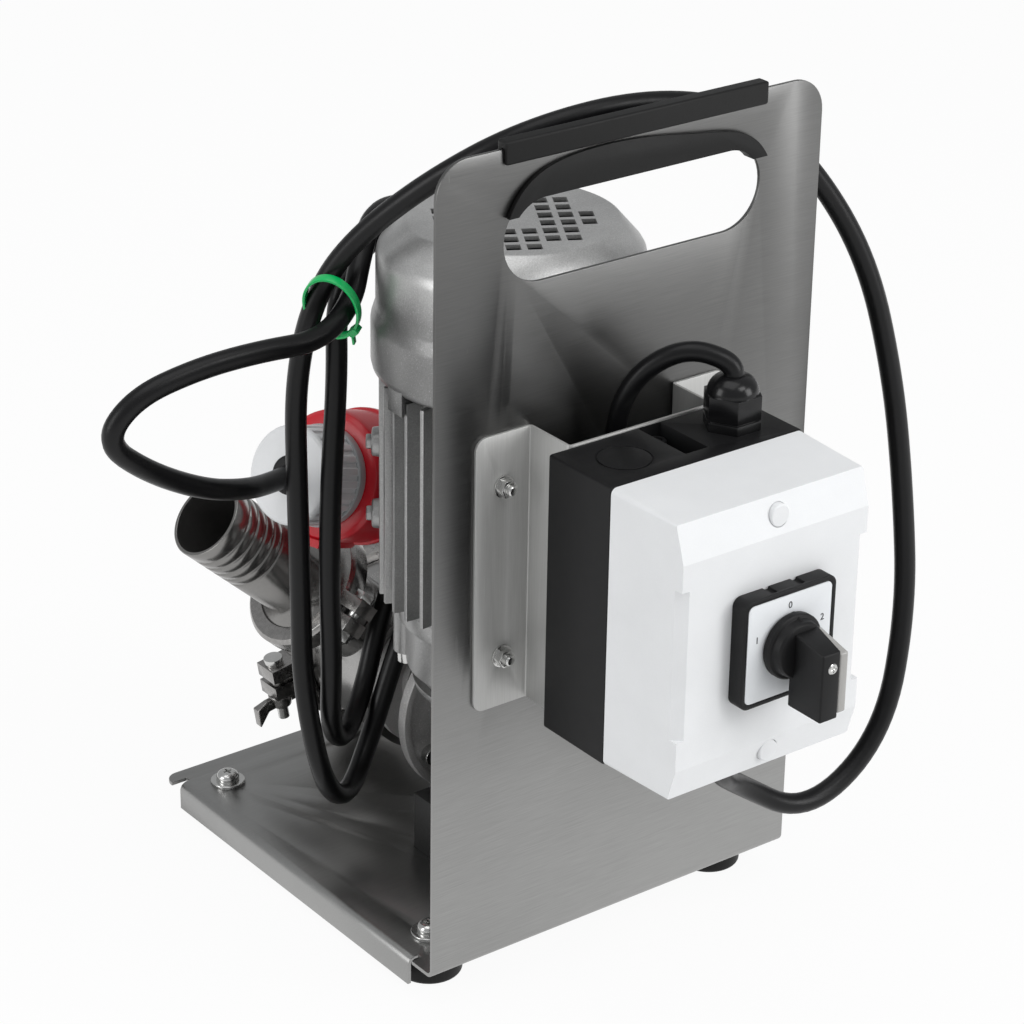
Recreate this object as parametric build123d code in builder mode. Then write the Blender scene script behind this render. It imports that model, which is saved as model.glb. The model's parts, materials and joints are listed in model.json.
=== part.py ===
from build123d import *
import math
import os

os.makedirs("parts", exist_ok=True)

# A motor-driven honey pump on a bent sheet stand, in millimetres, +Z up.
# The pump shaft stands in the plane x = 0, the ground is z = 0, and the origin is
# half way between the knob's front face and the back edge of the base.

# Stand
sheet = 2.0
plate_w = 220.0
plate_h = 409.0
plate_corner_r = 17.0
base_d = 237.0
bend_r = 2.5
flange_drop = 13.0
flange_start = 20.0
flange_end = 226.0
relief_w = 3.0
relief_depth = 6.0
tab_out = 3.0
tab_corner_r = 7.0
slot_w = 147.0
slot_h = 42.0
slot_drop = 44.0
pump_off = 12.0

# Feet and their fasteners
foot_h = 18.0
foot_r = 16.5
foot_edge = 21.5
foot_front = 32.5
foot_back = 213.0
foot_pocket_r = 6.6
foot_pocket_h = 9.0
foot_screw_r = 3.0
foot_washer_r = 9.0
foot_washer_t = 1.6
foot_head_r = 6.0
foot_head_h = 4.6
hole_gap = 0.2

# Rubber edge trims
trim_lip = 2.4
trim_gap = 0.1
trim_core = 2.2
top_trim_w = 149.0
top_trim_flap = 7.0
top_trim_over = 4.0
slot_trim_rise = 12.0

# Hat bracket and its bolts
bracket_t = 1.5
bracket_d = 30.0
bracket_mid = 207.0
bracket_over = 0.5
bracket_half = 41.5
bracket_flange = 31.0
bracket_off = -16.0
bracket_bolt_out = 15.5
bracket_bolt_z = 43.0
bracket_bolt_r = 2.5
bracket_nut_af = 8.0
bracket_nut_h = 4.0
bracket_washer_r = 5.5
bracket_washer_t = 1.0
bracket_bolt_end = 3.0

# Switch box
box_w = 110.0
box_h = 137.0
box_off = -15.0
box_base_d = 44.5
box_cover_d = 47.5
box_wall = 2.6
box_corner_r = 3.0
cover_draft = 2.0
cover_top_set = 5.8
cover_top_h = 19.0
cover_low_set = 5.2
cover_low_h = 17.5
cover_edge_cut = 5.0
cover_edge_h = 73.0
seal_t = 1.2
cap_r = 5.3
cap_out = 58.0
cap_depth = 6.0
screw_post_r = 7.5
box_screw_r = 2.0
box_screw_head_r = 3.6
gland_off = 32.0
gland_hole_r = 10.2
knockout_r = 12.5
pocket_w = 17.0
pocket_d = 24.0
pocket_h = 14.0

# Dial, knob and cam switch
dial_off = 2.0
dial_w = 53.0
dial_t = 8.5
dial_plate_w = 48.0
dial_plate_t = 1.2
knob_l = 28.5
knob_skirt_r = 14.0
knob_skirt_t = 7.0
knob_gap = 0.4
knob_grip_w = 11.8
knob_grip_top = 12.0
knob_grip_top_front = 6.3
knob_grip_low = 25.5
knob_pointer = 17.5
lock_t = 4.2
lock_gap = 0.3
lock_top = 4.5
lock_low = 24.5
lock_front = 2.0
lock_depth = 9.0
shaft_side = 6.0
block_w = 44.0
block_l = 52.0
block_bore_r = 6.0

# Cable glands
gland_af = 24.0
gland_flange_t = 4.5
gland_nut_h = 12.0
gland_dome_h = 8.5
gland_thread_r = 10.0
gland_inner = 9.0
lead_r = 4.75
mains_r = 5.25

# Motor
gear_a = 24.0
motor_back = 75.0
motor_low = 104.0
shield_h = 43.0
housing_h = 111.0
core_r = 53.0
fin_r = 61.0
fin_t = 2.2
fin_count = 36
bore_r = 46.0
end_lip = 3.0
end_t = 12.0
register_r = 42.0
ear_out = 49.0
ear_r = 7.0
ear_low = 8.0
ear_h = 26.0
boss_r = 9.0
fan_cover_r = 66.0
fan_cover_h = 91.0
fan_cover_straight = 60.0
fan_cover_top_r = 51.0
fan_cover_t = 2.0
grille_r = 43.0
grille_slot_w = 8.4
grille_slot_h = 6.2
grille_pitch_x = 10.8
grille_pitch_y = 9.6
grille_shift = 3.5
grille_turn = -35.0
stator_in_r = 30.0
rotor_r = 29.5
shaft_r = 7.0
worm_r = 7.6
worm_l = 28.0
fan_r = 55.0
fan_hub_r = 13.0
fan_blades = 7
fan_up = 20.0
bearing_up = 13.0

# Gearbox and drive to the pump
pump_up = 57.0
gear_w = 104.0
gear_d = 60.0
gear_h = 66.0
gear_low = 34.0
wheel_r = 16.1
wheel_w = 16.0
wheel_teeth = 30
wheel_pocket_r = 19.0
bearing_out_r = 17.5
bearing_w = 11.0
run_gap = 0.05
disc_r = 50.0
disc_t = 6.0
disc_gap = 19.0
disc_screw_out = 39.0
neck_r = 27.0
lantern_r = 25.0

# Pump head
pump_plane = 196.0
pump_r = 44.0
pump_w = 58.0
chamber_r = 34.0
chamber_wall = 8.0
impeller_r = 33.6
impeller_hub_r = 14.0
impeller_gap = 0.4
vane_t = 5.0
vane_count = 6
pump_rim_r = 46.5
pump_rim_t = 5.0
cover_t = 5.5
port_angle = 47.6
pipe_r = 20.5
pipe_wall = 2.0
joint_out = 81.0
ferrule_r = 30.0
ferrule_t = 3.4
gasket_t = 1.6
clamp_r = 35.0
clamp_w = 13.0
clamp_gap = 3.0
clamp_ear = 9.0
clamp_bolt_r = 3.0
barb_out = 163.0
rib_count = 5
rib_pitch = 6.5
rib_start = 11.0
groove_depth = 1.0
cover_clamp_r = 52.0
cover_clamp_w = 15.0
cover_bolt_out = 62.0
cover_split = 190.0
wing_hub_r = 6.5
wing_hub_h = 9.0
wing_reach = 15.0
cover_ear_h = 18.0

# Terminal box
term_w = 46.0
term_h = 70.0
term_depth = 32.0
term_pad = 62.0
term_up = 62.0
term_lid_t = 5.0
term_gland_l = 9.0

# Cable tie and mains plug
tie_h = 4.6
tie_gap = 1.6
tie_t = 1.3
plug_r = 30.0
plug_body_l = 40.0
plug_ring_l = 6.0
shroud_r = 37.0
shroud_l = 34.0
plug_pin_out = 15.0
plug_pin_r = 2.5

# Places that follow from the sizes above
bracket_h = box_h + 2 * bracket_over
foot_x = plate_w / 2 - foot_edge
front_reach = bracket_d + box_base_d + box_cover_d + dial_t + knob_l
plate_x = -pump_off
back_reach = pump_plane + pump_w / 2 + (cover_t - pump_rim_t) / 2 + wing_reach
plate_y = (front_reach - back_reach) / 2
base_z = foot_h
base_top = base_z + sheet
plate_top = base_z + plate_h
base_back = plate_y + base_d
slot_z = plate_top - slot_drop
bracket_x = plate_x + bracket_off
bracket_z = base_z + bracket_mid
box_x = plate_x + box_off
box_back = plate_y - bracket_d
seam_y = box_back - box_base_d
cover_y = seam_y - box_cover_d
dial_x = box_x + dial_off
dial_y = cover_y - dial_t
motor_x = -gear_a
motor_y = plate_y + motor_back
shield_z = base_z + motor_low
housing_z = shield_z + shield_h
cover_z = housing_z + housing_h
cover_top_z = cover_z + fan_cover_h
pump_z = base_z + pump_up
gear_front = motor_y - gear_d / 2
gear_back = motor_y + gear_d / 2
disc_y = gear_back + disc_gap
lantern_y = disc_y + disc_t
pump_y = plate_y + pump_plane
body_y = pump_y - pump_w / 2
lantern_l = body_y - lantern_y
rim_y = body_y + pump_w
chamber_y = body_y + chamber_wall

foot_points = [
    (plate_x + side * foot_x, plate_y + along)
    for side in (-1, 1)
    for along in (foot_front, foot_back)
]
bracket_bolt_points = [
    (bracket_x + side * (bracket_half + bracket_bolt_out), bracket_z + up)
    for side in (-1, 1)
    for up in (-bracket_bolt_z, bracket_bolt_z)
]
lead_hole = (plate_x + 16.0, base_z + 214.0)
lead_hole_r = 6.2
gear_screw_x = 34.0
gear_screw_y = 20.0
gear_screw_r = 3.0
gear_screw_points = [
    (motor_x + side_x * gear_screw_x + pump_off, motor_y + side_y * gear_screw_y)
    for side_x in (-1, 1)
    for side_y in (-1, 1)
]


def depth_plane(y):
    # a plane parallel to the plate; a negative extrusion runs to the back
    return Plane.XZ.offset(-y)


def save(piece, name):
    piece.part.label = name
    export_step(piece.part, f"parts/{name}.step")


# Stand: plate and base in one sheet, with a folded flange down each side
with BuildPart() as frame_plate:
    with BuildSketch(Plane.YZ.offset(plate_x - plate_w / 2)):
        with BuildLine():
            FilletPolyline(
                (plate_y + sheet / 2, plate_top),
                (plate_y + sheet / 2, base_z + sheet / 2),
                (base_back, base_z + sheet / 2),
                radius=bend_r + sheet / 2,
            )
        trace(line_width=sheet)
    extrude(amount=plate_w)
    fillet(frame_plate.edges().filter_by(Axis.Y).group_by(Axis.Z)[-1], plate_corner_r)
    flange_l = flange_end - flange_start
    tab_l = base_d - flange_end - relief_w
    for side in (-1, 1):
        edge_x = plate_x + side * plate_w / 2
        bend_x = edge_x - side * (bend_r + sheet)
        with Locations((bend_x + side * plate_w / 4, plate_y + (flange_start + flange_end) / 2, base_z)):
            Box(plate_w / 2, flange_l, 4 * sheet, mode=Mode.SUBTRACT)
        with Locations(
            (edge_x, plate_y + flange_start - relief_w / 2, base_z),
            (edge_x, plate_y + flange_end + relief_w / 2, base_z),
        ):
            Box(2 * relief_depth, relief_w, 4 * sheet, mode=Mode.SUBTRACT)
        with BuildSketch(depth_plane(plate_y + flange_start)):
            with BuildLine():
                FilletPolyline(
                    (bend_x - side * sheet, base_z + sheet / 2),
                    (edge_x - side * sheet / 2, base_z + sheet / 2),
                    (edge_x - side * sheet / 2, base_z - flange_drop),
                    radius=bend_r + sheet / 2,
                )
            trace(line_width=sheet)
        extrude(amount=-flange_l)
        with Locations((edge_x + side * tab_out / 2, base_back - tab_l / 2, base_z + sheet / 2)):
            Box(tab_out, tab_l, sheet)
    fillet(frame_plate.edges().filter_by(Axis.Z).group_by(Axis.Y)[-1], tab_corner_r)
    with BuildSketch(depth_plane(plate_y + sheet)):
        with Locations((plate_x, slot_z)):
            SlotOverall(slot_w, slot_h)
        with Locations(lead_hole):
            Circle(lead_hole_r)
        with Locations(*bracket_bolt_points):
            Circle(bracket_bolt_r + hole_gap)
    extrude(amount=sheet, mode=Mode.SUBTRACT)
    with BuildSketch(Plane.XY.offset(base_z)):
        with Locations(*foot_points):
            Circle(foot_screw_r + hole_gap)
        with Locations(*gear_screw_points):
            Circle(gear_screw_r + hole_gap)
    extrude(amount=sheet, mode=Mode.SUBTRACT)
save(frame_plate, "frame_plate")

# Rubber trim on the plate's top edge: a channel that grips the sheet
with BuildPart() as top_trim:
    trim_w = sheet + 2 * (trim_gap + trim_lip)
    with BuildSketch(Plane.YZ.offset(plate_x - top_trim_w / 2)):
        with Locations((plate_y + sheet / 2, plate_top + (top_trim_over - top_trim_flap) / 2)):
            RectangleRounded(trim_w, top_trim_over + top_trim_flap, trim_lip / 2)
        with Locations((plate_y + sheet / 2, plate_top + trim_gap - plate_corner_r / 2)):
            Rectangle(sheet + 2 * trim_gap, plate_corner_r, mode=Mode.SUBTRACT)
    extrude(amount=top_trim_w)
save(top_trim, "top_trim")

# Rubber trim round the top of the handle slot, with a flap on both faces of the plate
with BuildPart() as slot_trim:
    trim_foot = slot_z + slot_trim_rise
    with BuildSketch(depth_plane(plate_y - trim_gap - trim_lip)):
        with BuildLine():
            rim = Spline(
                (plate_x - 0.493 * slot_w, trim_foot),
                (plate_x - 0.378 * slot_w, slot_z + 0.726 * slot_h),
                (plate_x - 0.21 * slot_w, slot_z + 0.852 * slot_h),
                (plate_x + 0.04 * slot_w, slot_z + 0.833 * slot_h),
                (plate_x + 0.28 * slot_w, slot_z + 0.714 * slot_h),
                (plate_x + 0.43 * slot_w, slot_z + 0.583 * slot_h),
                (plate_x + 0.515 * slot_w, trim_foot),
            )
            Line(rim @ 1, rim @ 0)
        make_face()
        with Locations((plate_x, slot_z)):
            SlotOverall(slot_w - 2 * trim_core, slot_h - 2 * trim_core, mode=Mode.SUBTRACT)
    extrude(amount=-(sheet + 2 * (trim_gap + trim_lip)))
    with BuildSketch(depth_plane(plate_y - trim_gap)):
        with Locations((plate_x, slot_z)):
            Rectangle(plate_w, plate_h / 2)
            SlotOverall(slot_w - 2 * trim_gap, slot_h - 2 * trim_gap, mode=Mode.SUBTRACT)
    extrude(amount=-(sheet + 2 * trim_gap), mode=Mode.SUBTRACT)
save(slot_trim, "slot_trim")

# Four rubber feet with a pocket for the nut
with BuildPart() as feet:
    with Locations(*[(x, y, foot_h / 2) for x, y in foot_points]):
        Cylinder(foot_r, foot_h)
    fillet(feet.edges().filter_by(GeomType.CIRCLE).group_by(Axis.Z)[0], 2.5)
    with Locations(*[(x, y, foot_h / 2) for x, y in foot_points]):
        Cylinder(foot_screw_r + hole_gap, foot_h, mode=Mode.SUBTRACT)
    with Locations(*[(x, y, foot_pocket_h / 2) for x, y in foot_points]):
        Cylinder(foot_pocket_r, foot_pocket_h, mode=Mode.SUBTRACT)
save(feet, "feet")

with BuildPart() as foot_washers:
    with BuildSketch(Plane.XY.offset(base_top)):
        with Locations(*foot_points):
            Circle(foot_washer_r)
            Circle(foot_screw_r + hole_gap, mode=Mode.SUBTRACT)
    extrude(amount=foot_washer_t)
    fillet(foot_washers.edges().filter_by(GeomType.CIRCLE).group_by(SortBy.RADIUS)[-1].group_by(Axis.Z)[-1], 0.6)
save(foot_washers, "foot_washers")

# Domed screws with a cross recess, from the base down into the feet
with BuildPart() as foot_screws:
    head_z = base_top + foot_washer_t
    with BuildSketch(Plane.XY.offset(head_z)):
        with Locations(*foot_points):
            Circle(foot_head_r)
    extrude(amount=foot_head_h)
    fillet(foot_screws.edges().filter_by(GeomType.CIRCLE).group_by(Axis.Z)[-1], 3.2)
    with BuildSketch(Plane.XY.offset(head_z)):
        with Locations(*foot_points):
            Circle(foot_screw_r)
    extrude(amount=foot_pocket_h / 2 - head_z)
    with Locations(*[(x, y, head_z + foot_head_h) for x, y in foot_points]):
        Box(5.0, 1.2, 3.0, mode=Mode.SUBTRACT)
        Box(1.2, 5.0, 3.0, mode=Mode.SUBTRACT)
save(foot_screws, "foot_screws")

# Hat bracket that carries the switch box
with BuildPart() as hat_bracket:
    flange_x = bracket_half + bracket_flange
    front = plate_y - bracket_d + bracket_t / 2
    back = plate_y - bracket_t / 2
    with BuildSketch(Plane.XY.offset(bracket_z - bracket_h / 2)):
        with BuildLine():
            FilletPolyline(
                (bracket_x - flange_x, back),
                (bracket_x - bracket_half, back),
                (bracket_x - bracket_half, front),
                (bracket_x + bracket_half, front),
                (bracket_x + bracket_half, back),
                (bracket_x + flange_x, back),
                radius=bracket_t,
            )
        trace(line_width=bracket_t)
    extrude(amount=bracket_h)
    for end in (0, -1):
        fillet(hat_bracket.edges().filter_by(Axis.Y).group_by(Axis.X)[end], 6.0)
    with BuildSketch(depth_plane(plate_y)):
        with Locations(*bracket_bolt_points):
            Circle(bracket_bolt_r + hole_gap)
    extrude(amount=2 * bracket_t, mode=Mode.SUBTRACT)
save(hat_bracket, "hat_bracket")

# Bracket fasteners: heads behind the plate, washers and nuts in front of the flanges
washer_y = plate_y - bracket_t
nut_y = washer_y - bracket_washer_t
with BuildPart() as bracket_bolts:
    with BuildSketch(depth_plane(plate_y + sheet + bracket_nut_h)):
        with Locations(*bracket_bolt_points):
            RegularPolygon(bracket_nut_af / 2, 6, major_radius=False)
    extrude(amount=bracket_nut_h)
    with BuildSketch(depth_plane(plate_y + sheet)):
        with Locations(*bracket_bolt_points):
            Circle(bracket_bolt_r)
    extrude(amount=plate_y + sheet - nut_y + bracket_nut_h + bracket_bolt_end)
    chamfer(bracket_bolts.edges().filter_by(GeomType.CIRCLE).group_by(Axis.Y)[0], 0.6)
save(bracket_bolts, "bracket_bolts")

with BuildPart() as bracket_washers:
    with BuildSketch(depth_plane(washer_y)):
        with Locations(*bracket_bolt_points):
            Circle(bracket_washer_r)
            Circle(bracket_bolt_r + hole_gap, mode=Mode.SUBTRACT)
    extrude(amount=bracket_washer_t)
save(bracket_washers, "bracket_washers")

with BuildPart() as bracket_nuts:
    with BuildSketch(depth_plane(nut_y)):
        with Locations(*bracket_bolt_points):
            RegularPolygon(bracket_nut_af / 2, 6, major_radius=False)
            Circle(bracket_bolt_r + run_gap, mode=Mode.SUBTRACT)
    extrude(amount=bracket_nut_h)
save(bracket_nuts, "bracket_nuts")

# Switch box base: an open tray on the bracket, with gland holes above and below
cap_points = [(dial_x, bracket_z + up) for up in (-cap_out, cap_out)]
gland_x = box_x + gland_off
gland_y = box_back - box_base_d / 2
box_top = bracket_z + box_h / 2
box_low = bracket_z - box_h / 2
pocket_x = box_x - 4.0
post_d = box_base_d - box_wall
with BuildPart() as switch_base:
    with BuildSketch(depth_plane(box_back)):
        with Locations((box_x, bracket_z)):
            RectangleRounded(box_w, box_h, box_corner_r)
    extrude(amount=box_base_d)
    with BuildSketch(depth_plane(box_back - box_wall)):
        with Locations((box_x, bracket_z)):
            Rectangle(box_w - 2 * box_wall, box_h - 2 * box_wall)
        with Locations((pocket_x, box_top - (pocket_h + box_wall) / 2)):
            Rectangle(pocket_w + 2 * box_wall, pocket_h + box_wall, mode=Mode.SUBTRACT)
        with Locations(*cap_points):
            Circle(screw_post_r, mode=Mode.SUBTRACT)
    extrude(amount=post_d, mode=Mode.SUBTRACT)
    with Locations((pocket_x, gland_y - 2.0, box_top - pocket_h / 2)):
        Box(pocket_w, pocket_d, pocket_h, mode=Mode.SUBTRACT)
    with Locations(
        (gland_x, gland_y, box_top - box_wall / 2),
        (gland_x, gland_y, box_low + box_wall / 2),
    ):
        Cylinder(gland_hole_r, 2 * box_wall, mode=Mode.SUBTRACT)
    with BuildSketch(Plane.XY.offset(box_top)):
        with Locations((box_x - gland_off, gland_y)):
            Circle(knockout_r)
            Circle(knockout_r - 1.4, mode=Mode.SUBTRACT)
    extrude(amount=-1.0, mode=Mode.SUBTRACT)
    with BuildSketch(depth_plane(seam_y)):
        with Locations(*cap_points):
            Circle(box_screw_r + hole_gap)
    extrude(amount=-post_d / 2, mode=Mode.SUBTRACT)
save(switch_base, "switch_base")

# White cover: flat front with a sloping zone above and below, and cut vertical edges
draft_angle = math.degrees(math.atan(cover_draft / box_cover_d))
cover_bore_r = block_bore_r + 4.0
with BuildPart() as switch_cover:
    with BuildSketch(depth_plane(seam_y)):
        with Locations((box_x, bracket_z)):
            RectangleRounded(box_w, box_h, box_corner_r)
    extrude(amount=box_cover_d, taper=draft_angle)
    with BuildSketch(Plane.YZ.offset(box_x - box_w)):
        with BuildLine():
            Polyline(
                (cover_y, box_top - cover_top_h),
                (cover_y + cover_top_set * 1.4, box_top + 0.4 * cover_top_h),
                (cover_y - cover_top_set, box_top + 0.4 * cover_top_h),
                close=True,
            )
        make_face()
        with BuildLine():
            Polyline(
                (cover_y, box_low + cover_low_h),
                (cover_y + cover_low_set * 1.4, box_low - 0.4 * cover_low_h),
                (cover_y - cover_low_set, box_low - 0.4 * cover_low_h),
                close=True,
            )
        make_face()
    extrude(amount=2 * box_w, mode=Mode.SUBTRACT)
    for side in (-1, 1):
        edge_x = box_x + side * (box_w / 2 - cover_draft)
        with BuildSketch(Plane.XY.offset(bracket_z - cover_edge_h / 2)):
            with BuildLine():
                Polyline(
                    (edge_x - side * cover_edge_cut, cover_y - 1),
                    (edge_x + side * cover_edge_cut, cover_y - 1),
                    (edge_x + side * cover_edge_cut, cover_y + 2 * cover_edge_cut),
                    close=True,
                )
            make_face()
        extrude(amount=cover_edge_h, mode=Mode.SUBTRACT)
    cavity_d = box_cover_d - cover_top_set - box_wall
    with BuildSketch(depth_plane(seam_y)):
        with Locations((box_x, bracket_z)):
            Rectangle(box_w - 4 * box_wall, box_h - 4 * box_wall)
        with Locations(*cap_points):
            Circle(screw_post_r, mode=Mode.SUBTRACT)
    extrude(amount=cavity_d, mode=Mode.SUBTRACT)
    with BuildSketch(depth_plane(cover_y)):
        with Locations((dial_x, bracket_z)):
            Circle(cover_bore_r)
    extrude(amount=-box_cover_d, mode=Mode.SUBTRACT)
    with BuildSketch(depth_plane(cover_y)):
        with Locations(*cap_points):
            Circle(cap_r + hole_gap)
    extrude(amount=-(box_cover_d - cap_depth), mode=Mode.SUBTRACT)
    with BuildSketch(depth_plane(seam_y)):
        with Locations(*cap_points):
            Circle(box_screw_r + hole_gap)
    extrude(amount=cap_depth, mode=Mode.SUBTRACT)
save(switch_cover, "switch_cover")

# Round caps over the two screw wells of the cover
with BuildPart() as screw_caps:
    with BuildSketch(depth_plane(cover_y + 0.9)):
        with Locations(*cap_points):
            Circle(cap_r)
    extrude(amount=-2 * cap_depth)
    fillet(screw_caps.edges().group_by(Axis.Y)[0], 0.8)
save(screw_caps, "screw_caps")

# Square dial frame with small notches, its cam switch block behind the cover, and the dial plate
block_y = cover_y + cover_top_set + box_wall + 0.2
with BuildPart() as dial_frame:
    with BuildSketch(depth_plane(cover_y)):
        with Locations((dial_x, bracket_z)):
            RectangleRounded(dial_w, dial_w, 4.5)
            Circle(block_bore_r + 1, mode=Mode.SUBTRACT)
    extrude(amount=dial_t)
    with BuildSketch(depth_plane(dial_y)):
        with Locations((dial_x, bracket_z)):
            RectangleRounded(dial_plate_w + 2 * trim_gap, dial_plate_w + 2 * trim_gap, 3.2)
    extrude(amount=-dial_plate_t, mode=Mode.SUBTRACT)
    with BuildSketch(depth_plane(cover_y)):
        with Locations((dial_x, bracket_z)):
            with PolarLocations(dial_w / 2, 2, start_angle=90, angular_range=360):
                with GridLocations(1.0, 0.3 * dial_w, 1, 2):
                    Rectangle(2.4, 3.2)
    extrude(amount=dial_t - 2.0, mode=Mode.SUBTRACT)
    with BuildSketch(depth_plane(cover_y)):
        with Locations((dial_x, bracket_z)):
            Circle(cover_bore_r - trim_gap)
            Circle(block_bore_r, mode=Mode.SUBTRACT)
    extrude(amount=cover_y - block_y)
    with BuildSketch(depth_plane(block_y)):
        with Locations((dial_x, bracket_z)):
            RectangleRounded(block_w, block_w, 5.0)
            Circle(block_bore_r, mode=Mode.SUBTRACT)
    extrude(amount=-block_l)
save(dial_frame, "dial_frame")

with BuildPart() as dial_plate:
    with BuildSketch(depth_plane(dial_y)):
        with Locations((dial_x, bracket_z)):
            RectangleRounded(dial_plate_w, dial_plate_w, 3.0)
            Circle(block_bore_r + 1, mode=Mode.SUBTRACT)
    extrude(amount=-dial_plate_t)
save(dial_plate, "dial_plate")

# Knob on its square switch shaft: skirt with a pointer, and a tall grip grooved for the lock slide
skirt_y = dial_y - knob_gap
knob_front = dial_y - knob_l
rail_y = knob_front + lock_front + lock_depth / 2
with BuildPart() as knob:
    with BuildSketch(depth_plane(skirt_y)):
        with Locations((dial_x, bracket_z)):
            Circle(knob_skirt_r)
            Polygon((-10, 9), (10, 9), (1.6, knob_pointer), (-1.6, knob_pointer), align=None)
    extrude(amount=knob_skirt_t)
    with BuildSketch(Plane.YZ.offset(dial_x - knob_grip_w / 2)):
        with BuildLine():
            Polyline(
                (skirt_y, bracket_z + knob_grip_top),
                (knob_front, bracket_z + knob_grip_top_front),
                (knob_front, bracket_z - knob_grip_low),
                (skirt_y - knob_skirt_t - 1, bracket_z - knob_grip_low),
                (skirt_y - knob_skirt_t - 1, bracket_z - knob_skirt_r + 1),
                (skirt_y, bracket_z - knob_skirt_r + 1),
                close=True,
            )
        make_face()
    extrude(amount=knob_grip_w)
    fillet(knob.edges().filter_by(Axis.Z).group_by(Axis.Y)[0], 1.5)
    with BuildSketch(Plane.XY.offset(bracket_z - knob_grip_low)):
        with Locations((dial_x + knob_grip_w / 2, rail_y)):
            Rectangle(4.0 + 2 * lock_gap, 4.0 + 2 * lock_gap)
    extrude(amount=knob_grip_low + knob_grip_top, mode=Mode.SUBTRACT)
    with Locations((dial_x, knob_front, bracket_z)):
        Cylinder(3.2, 5.0, rotation=(90, 0, 0), mode=Mode.SUBTRACT)
    with BuildSketch(depth_plane(skirt_y)):
        with Locations((dial_x, bracket_z)):
            Rectangle(shaft_side, shaft_side)
    extrude(amount=-(dial_t + block_l))
save(knob, "knob")

with BuildPart() as knob_screw:
    with BuildSketch(depth_plane(knob_front + 2.5)):
        with Locations((dial_x, bracket_z)):
            Circle(3.0)
    extrude(amount=2.2)
    fillet(knob_screw.edges().group_by(Axis.Y)[0], 0.7)
    with Locations((dial_x, knob_front, bracket_z)):
        Box(4.0, 1.6, 0.9, mode=Mode.SUBTRACT)
save(knob_screw, "knob_screw")

# Grey lock slide on the knob's side: its tongue runs in the groove of the grip
with BuildPart() as lock_slide:
    with BuildSketch(Plane.XY.offset(bracket_z - lock_low)):
        with Locations((dial_x + knob_grip_w / 2 + lock_gap + lock_t / 2, rail_y)):
            RectangleRounded(lock_t, lock_depth, 1.0)
        with Locations((dial_x + knob_grip_w / 2 + lock_gap / 2, rail_y)):
            Rectangle(3.0, 4.0)
    extrude(amount=lock_low + lock_top)
    with Locations((dial_x + knob_grip_w / 2 + lock_t, rail_y, bracket_z - lock_low + 6.0)):
        Cylinder(1.5, lock_t, rotation=(0, 90, 0), mode=Mode.SUBTRACT)
save(lock_slide, "lock_slide")

# Cable glands above and below the box: hexagon, dome nut and the thread in the wall
nut_z = gland_flange_t
dome_z = nut_z + gland_nut_h
tip_z = dome_z + gland_dome_h
gland_places = [
    Location((gland_x, gland_y, box_top)),
    Location((gland_x, gland_y, box_low), (180, 0, 0)),
]

with BuildPart(mode=Mode.PRIVATE) as one_gland:
    with Locations((0, 0, (nut_z - gland_inner) / 2)):
        Cylinder(gland_thread_r, nut_z + gland_inner)
    with BuildSketch(Plane.XY):
        RegularPolygon(gland_af / 2, 6, major_radius=False)
    extrude(amount=nut_z)
    with BuildSketch(Plane.XY.offset(nut_z)):
        RegularPolygon(gland_af / 2 - 0.8, 6, major_radius=False)
    extrude(amount=0.8)
    with BuildSketch(Plane.XY.offset(nut_z + 0.8)):
        RegularPolygon(gland_af / 2, 6, major_radius=False)
    extrude(amount=gland_nut_h - 0.8)
    with BuildSketch(Plane.XZ):
        with BuildLine():
            Line((0, dome_z), (gland_af / 2, dome_z))
            CenterArc((gland_af / 2 - gland_dome_h, dome_z), gland_dome_h, 0, 90)
            Line((gland_af / 2 - gland_dome_h, tip_z), (0, tip_z))
            Line((0, tip_z), (0, dome_z))
        make_face()
    revolve(axis=Axis.Z)

with BuildPart() as glands:
    with Locations(*gland_places):
        add(one_gland.part)
save(glands, "glands")

# Rubber grommet where the motor lead passes the plate
with BuildPart() as lead_grommet:
    with BuildSketch(depth_plane(plate_y - 1.2)):
        with Locations(lead_hole):
            Circle(lead_hole_r + 1.2)
            Circle(lead_r + hole_gap, mode=Mode.SUBTRACT)
    extrude(amount=-(sheet + 2.4))
    with BuildSketch(depth_plane(plate_y - trim_gap)):
        with Locations(lead_hole):
            Circle(lead_hole_r + 4.0)
            Circle(lead_hole_r - trim_gap, mode=Mode.SUBTRACT)
    extrude(amount=-(sheet + 2 * trim_gap), mode=Mode.SUBTRACT)
save(lead_grommet, "lead_grommet")

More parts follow.
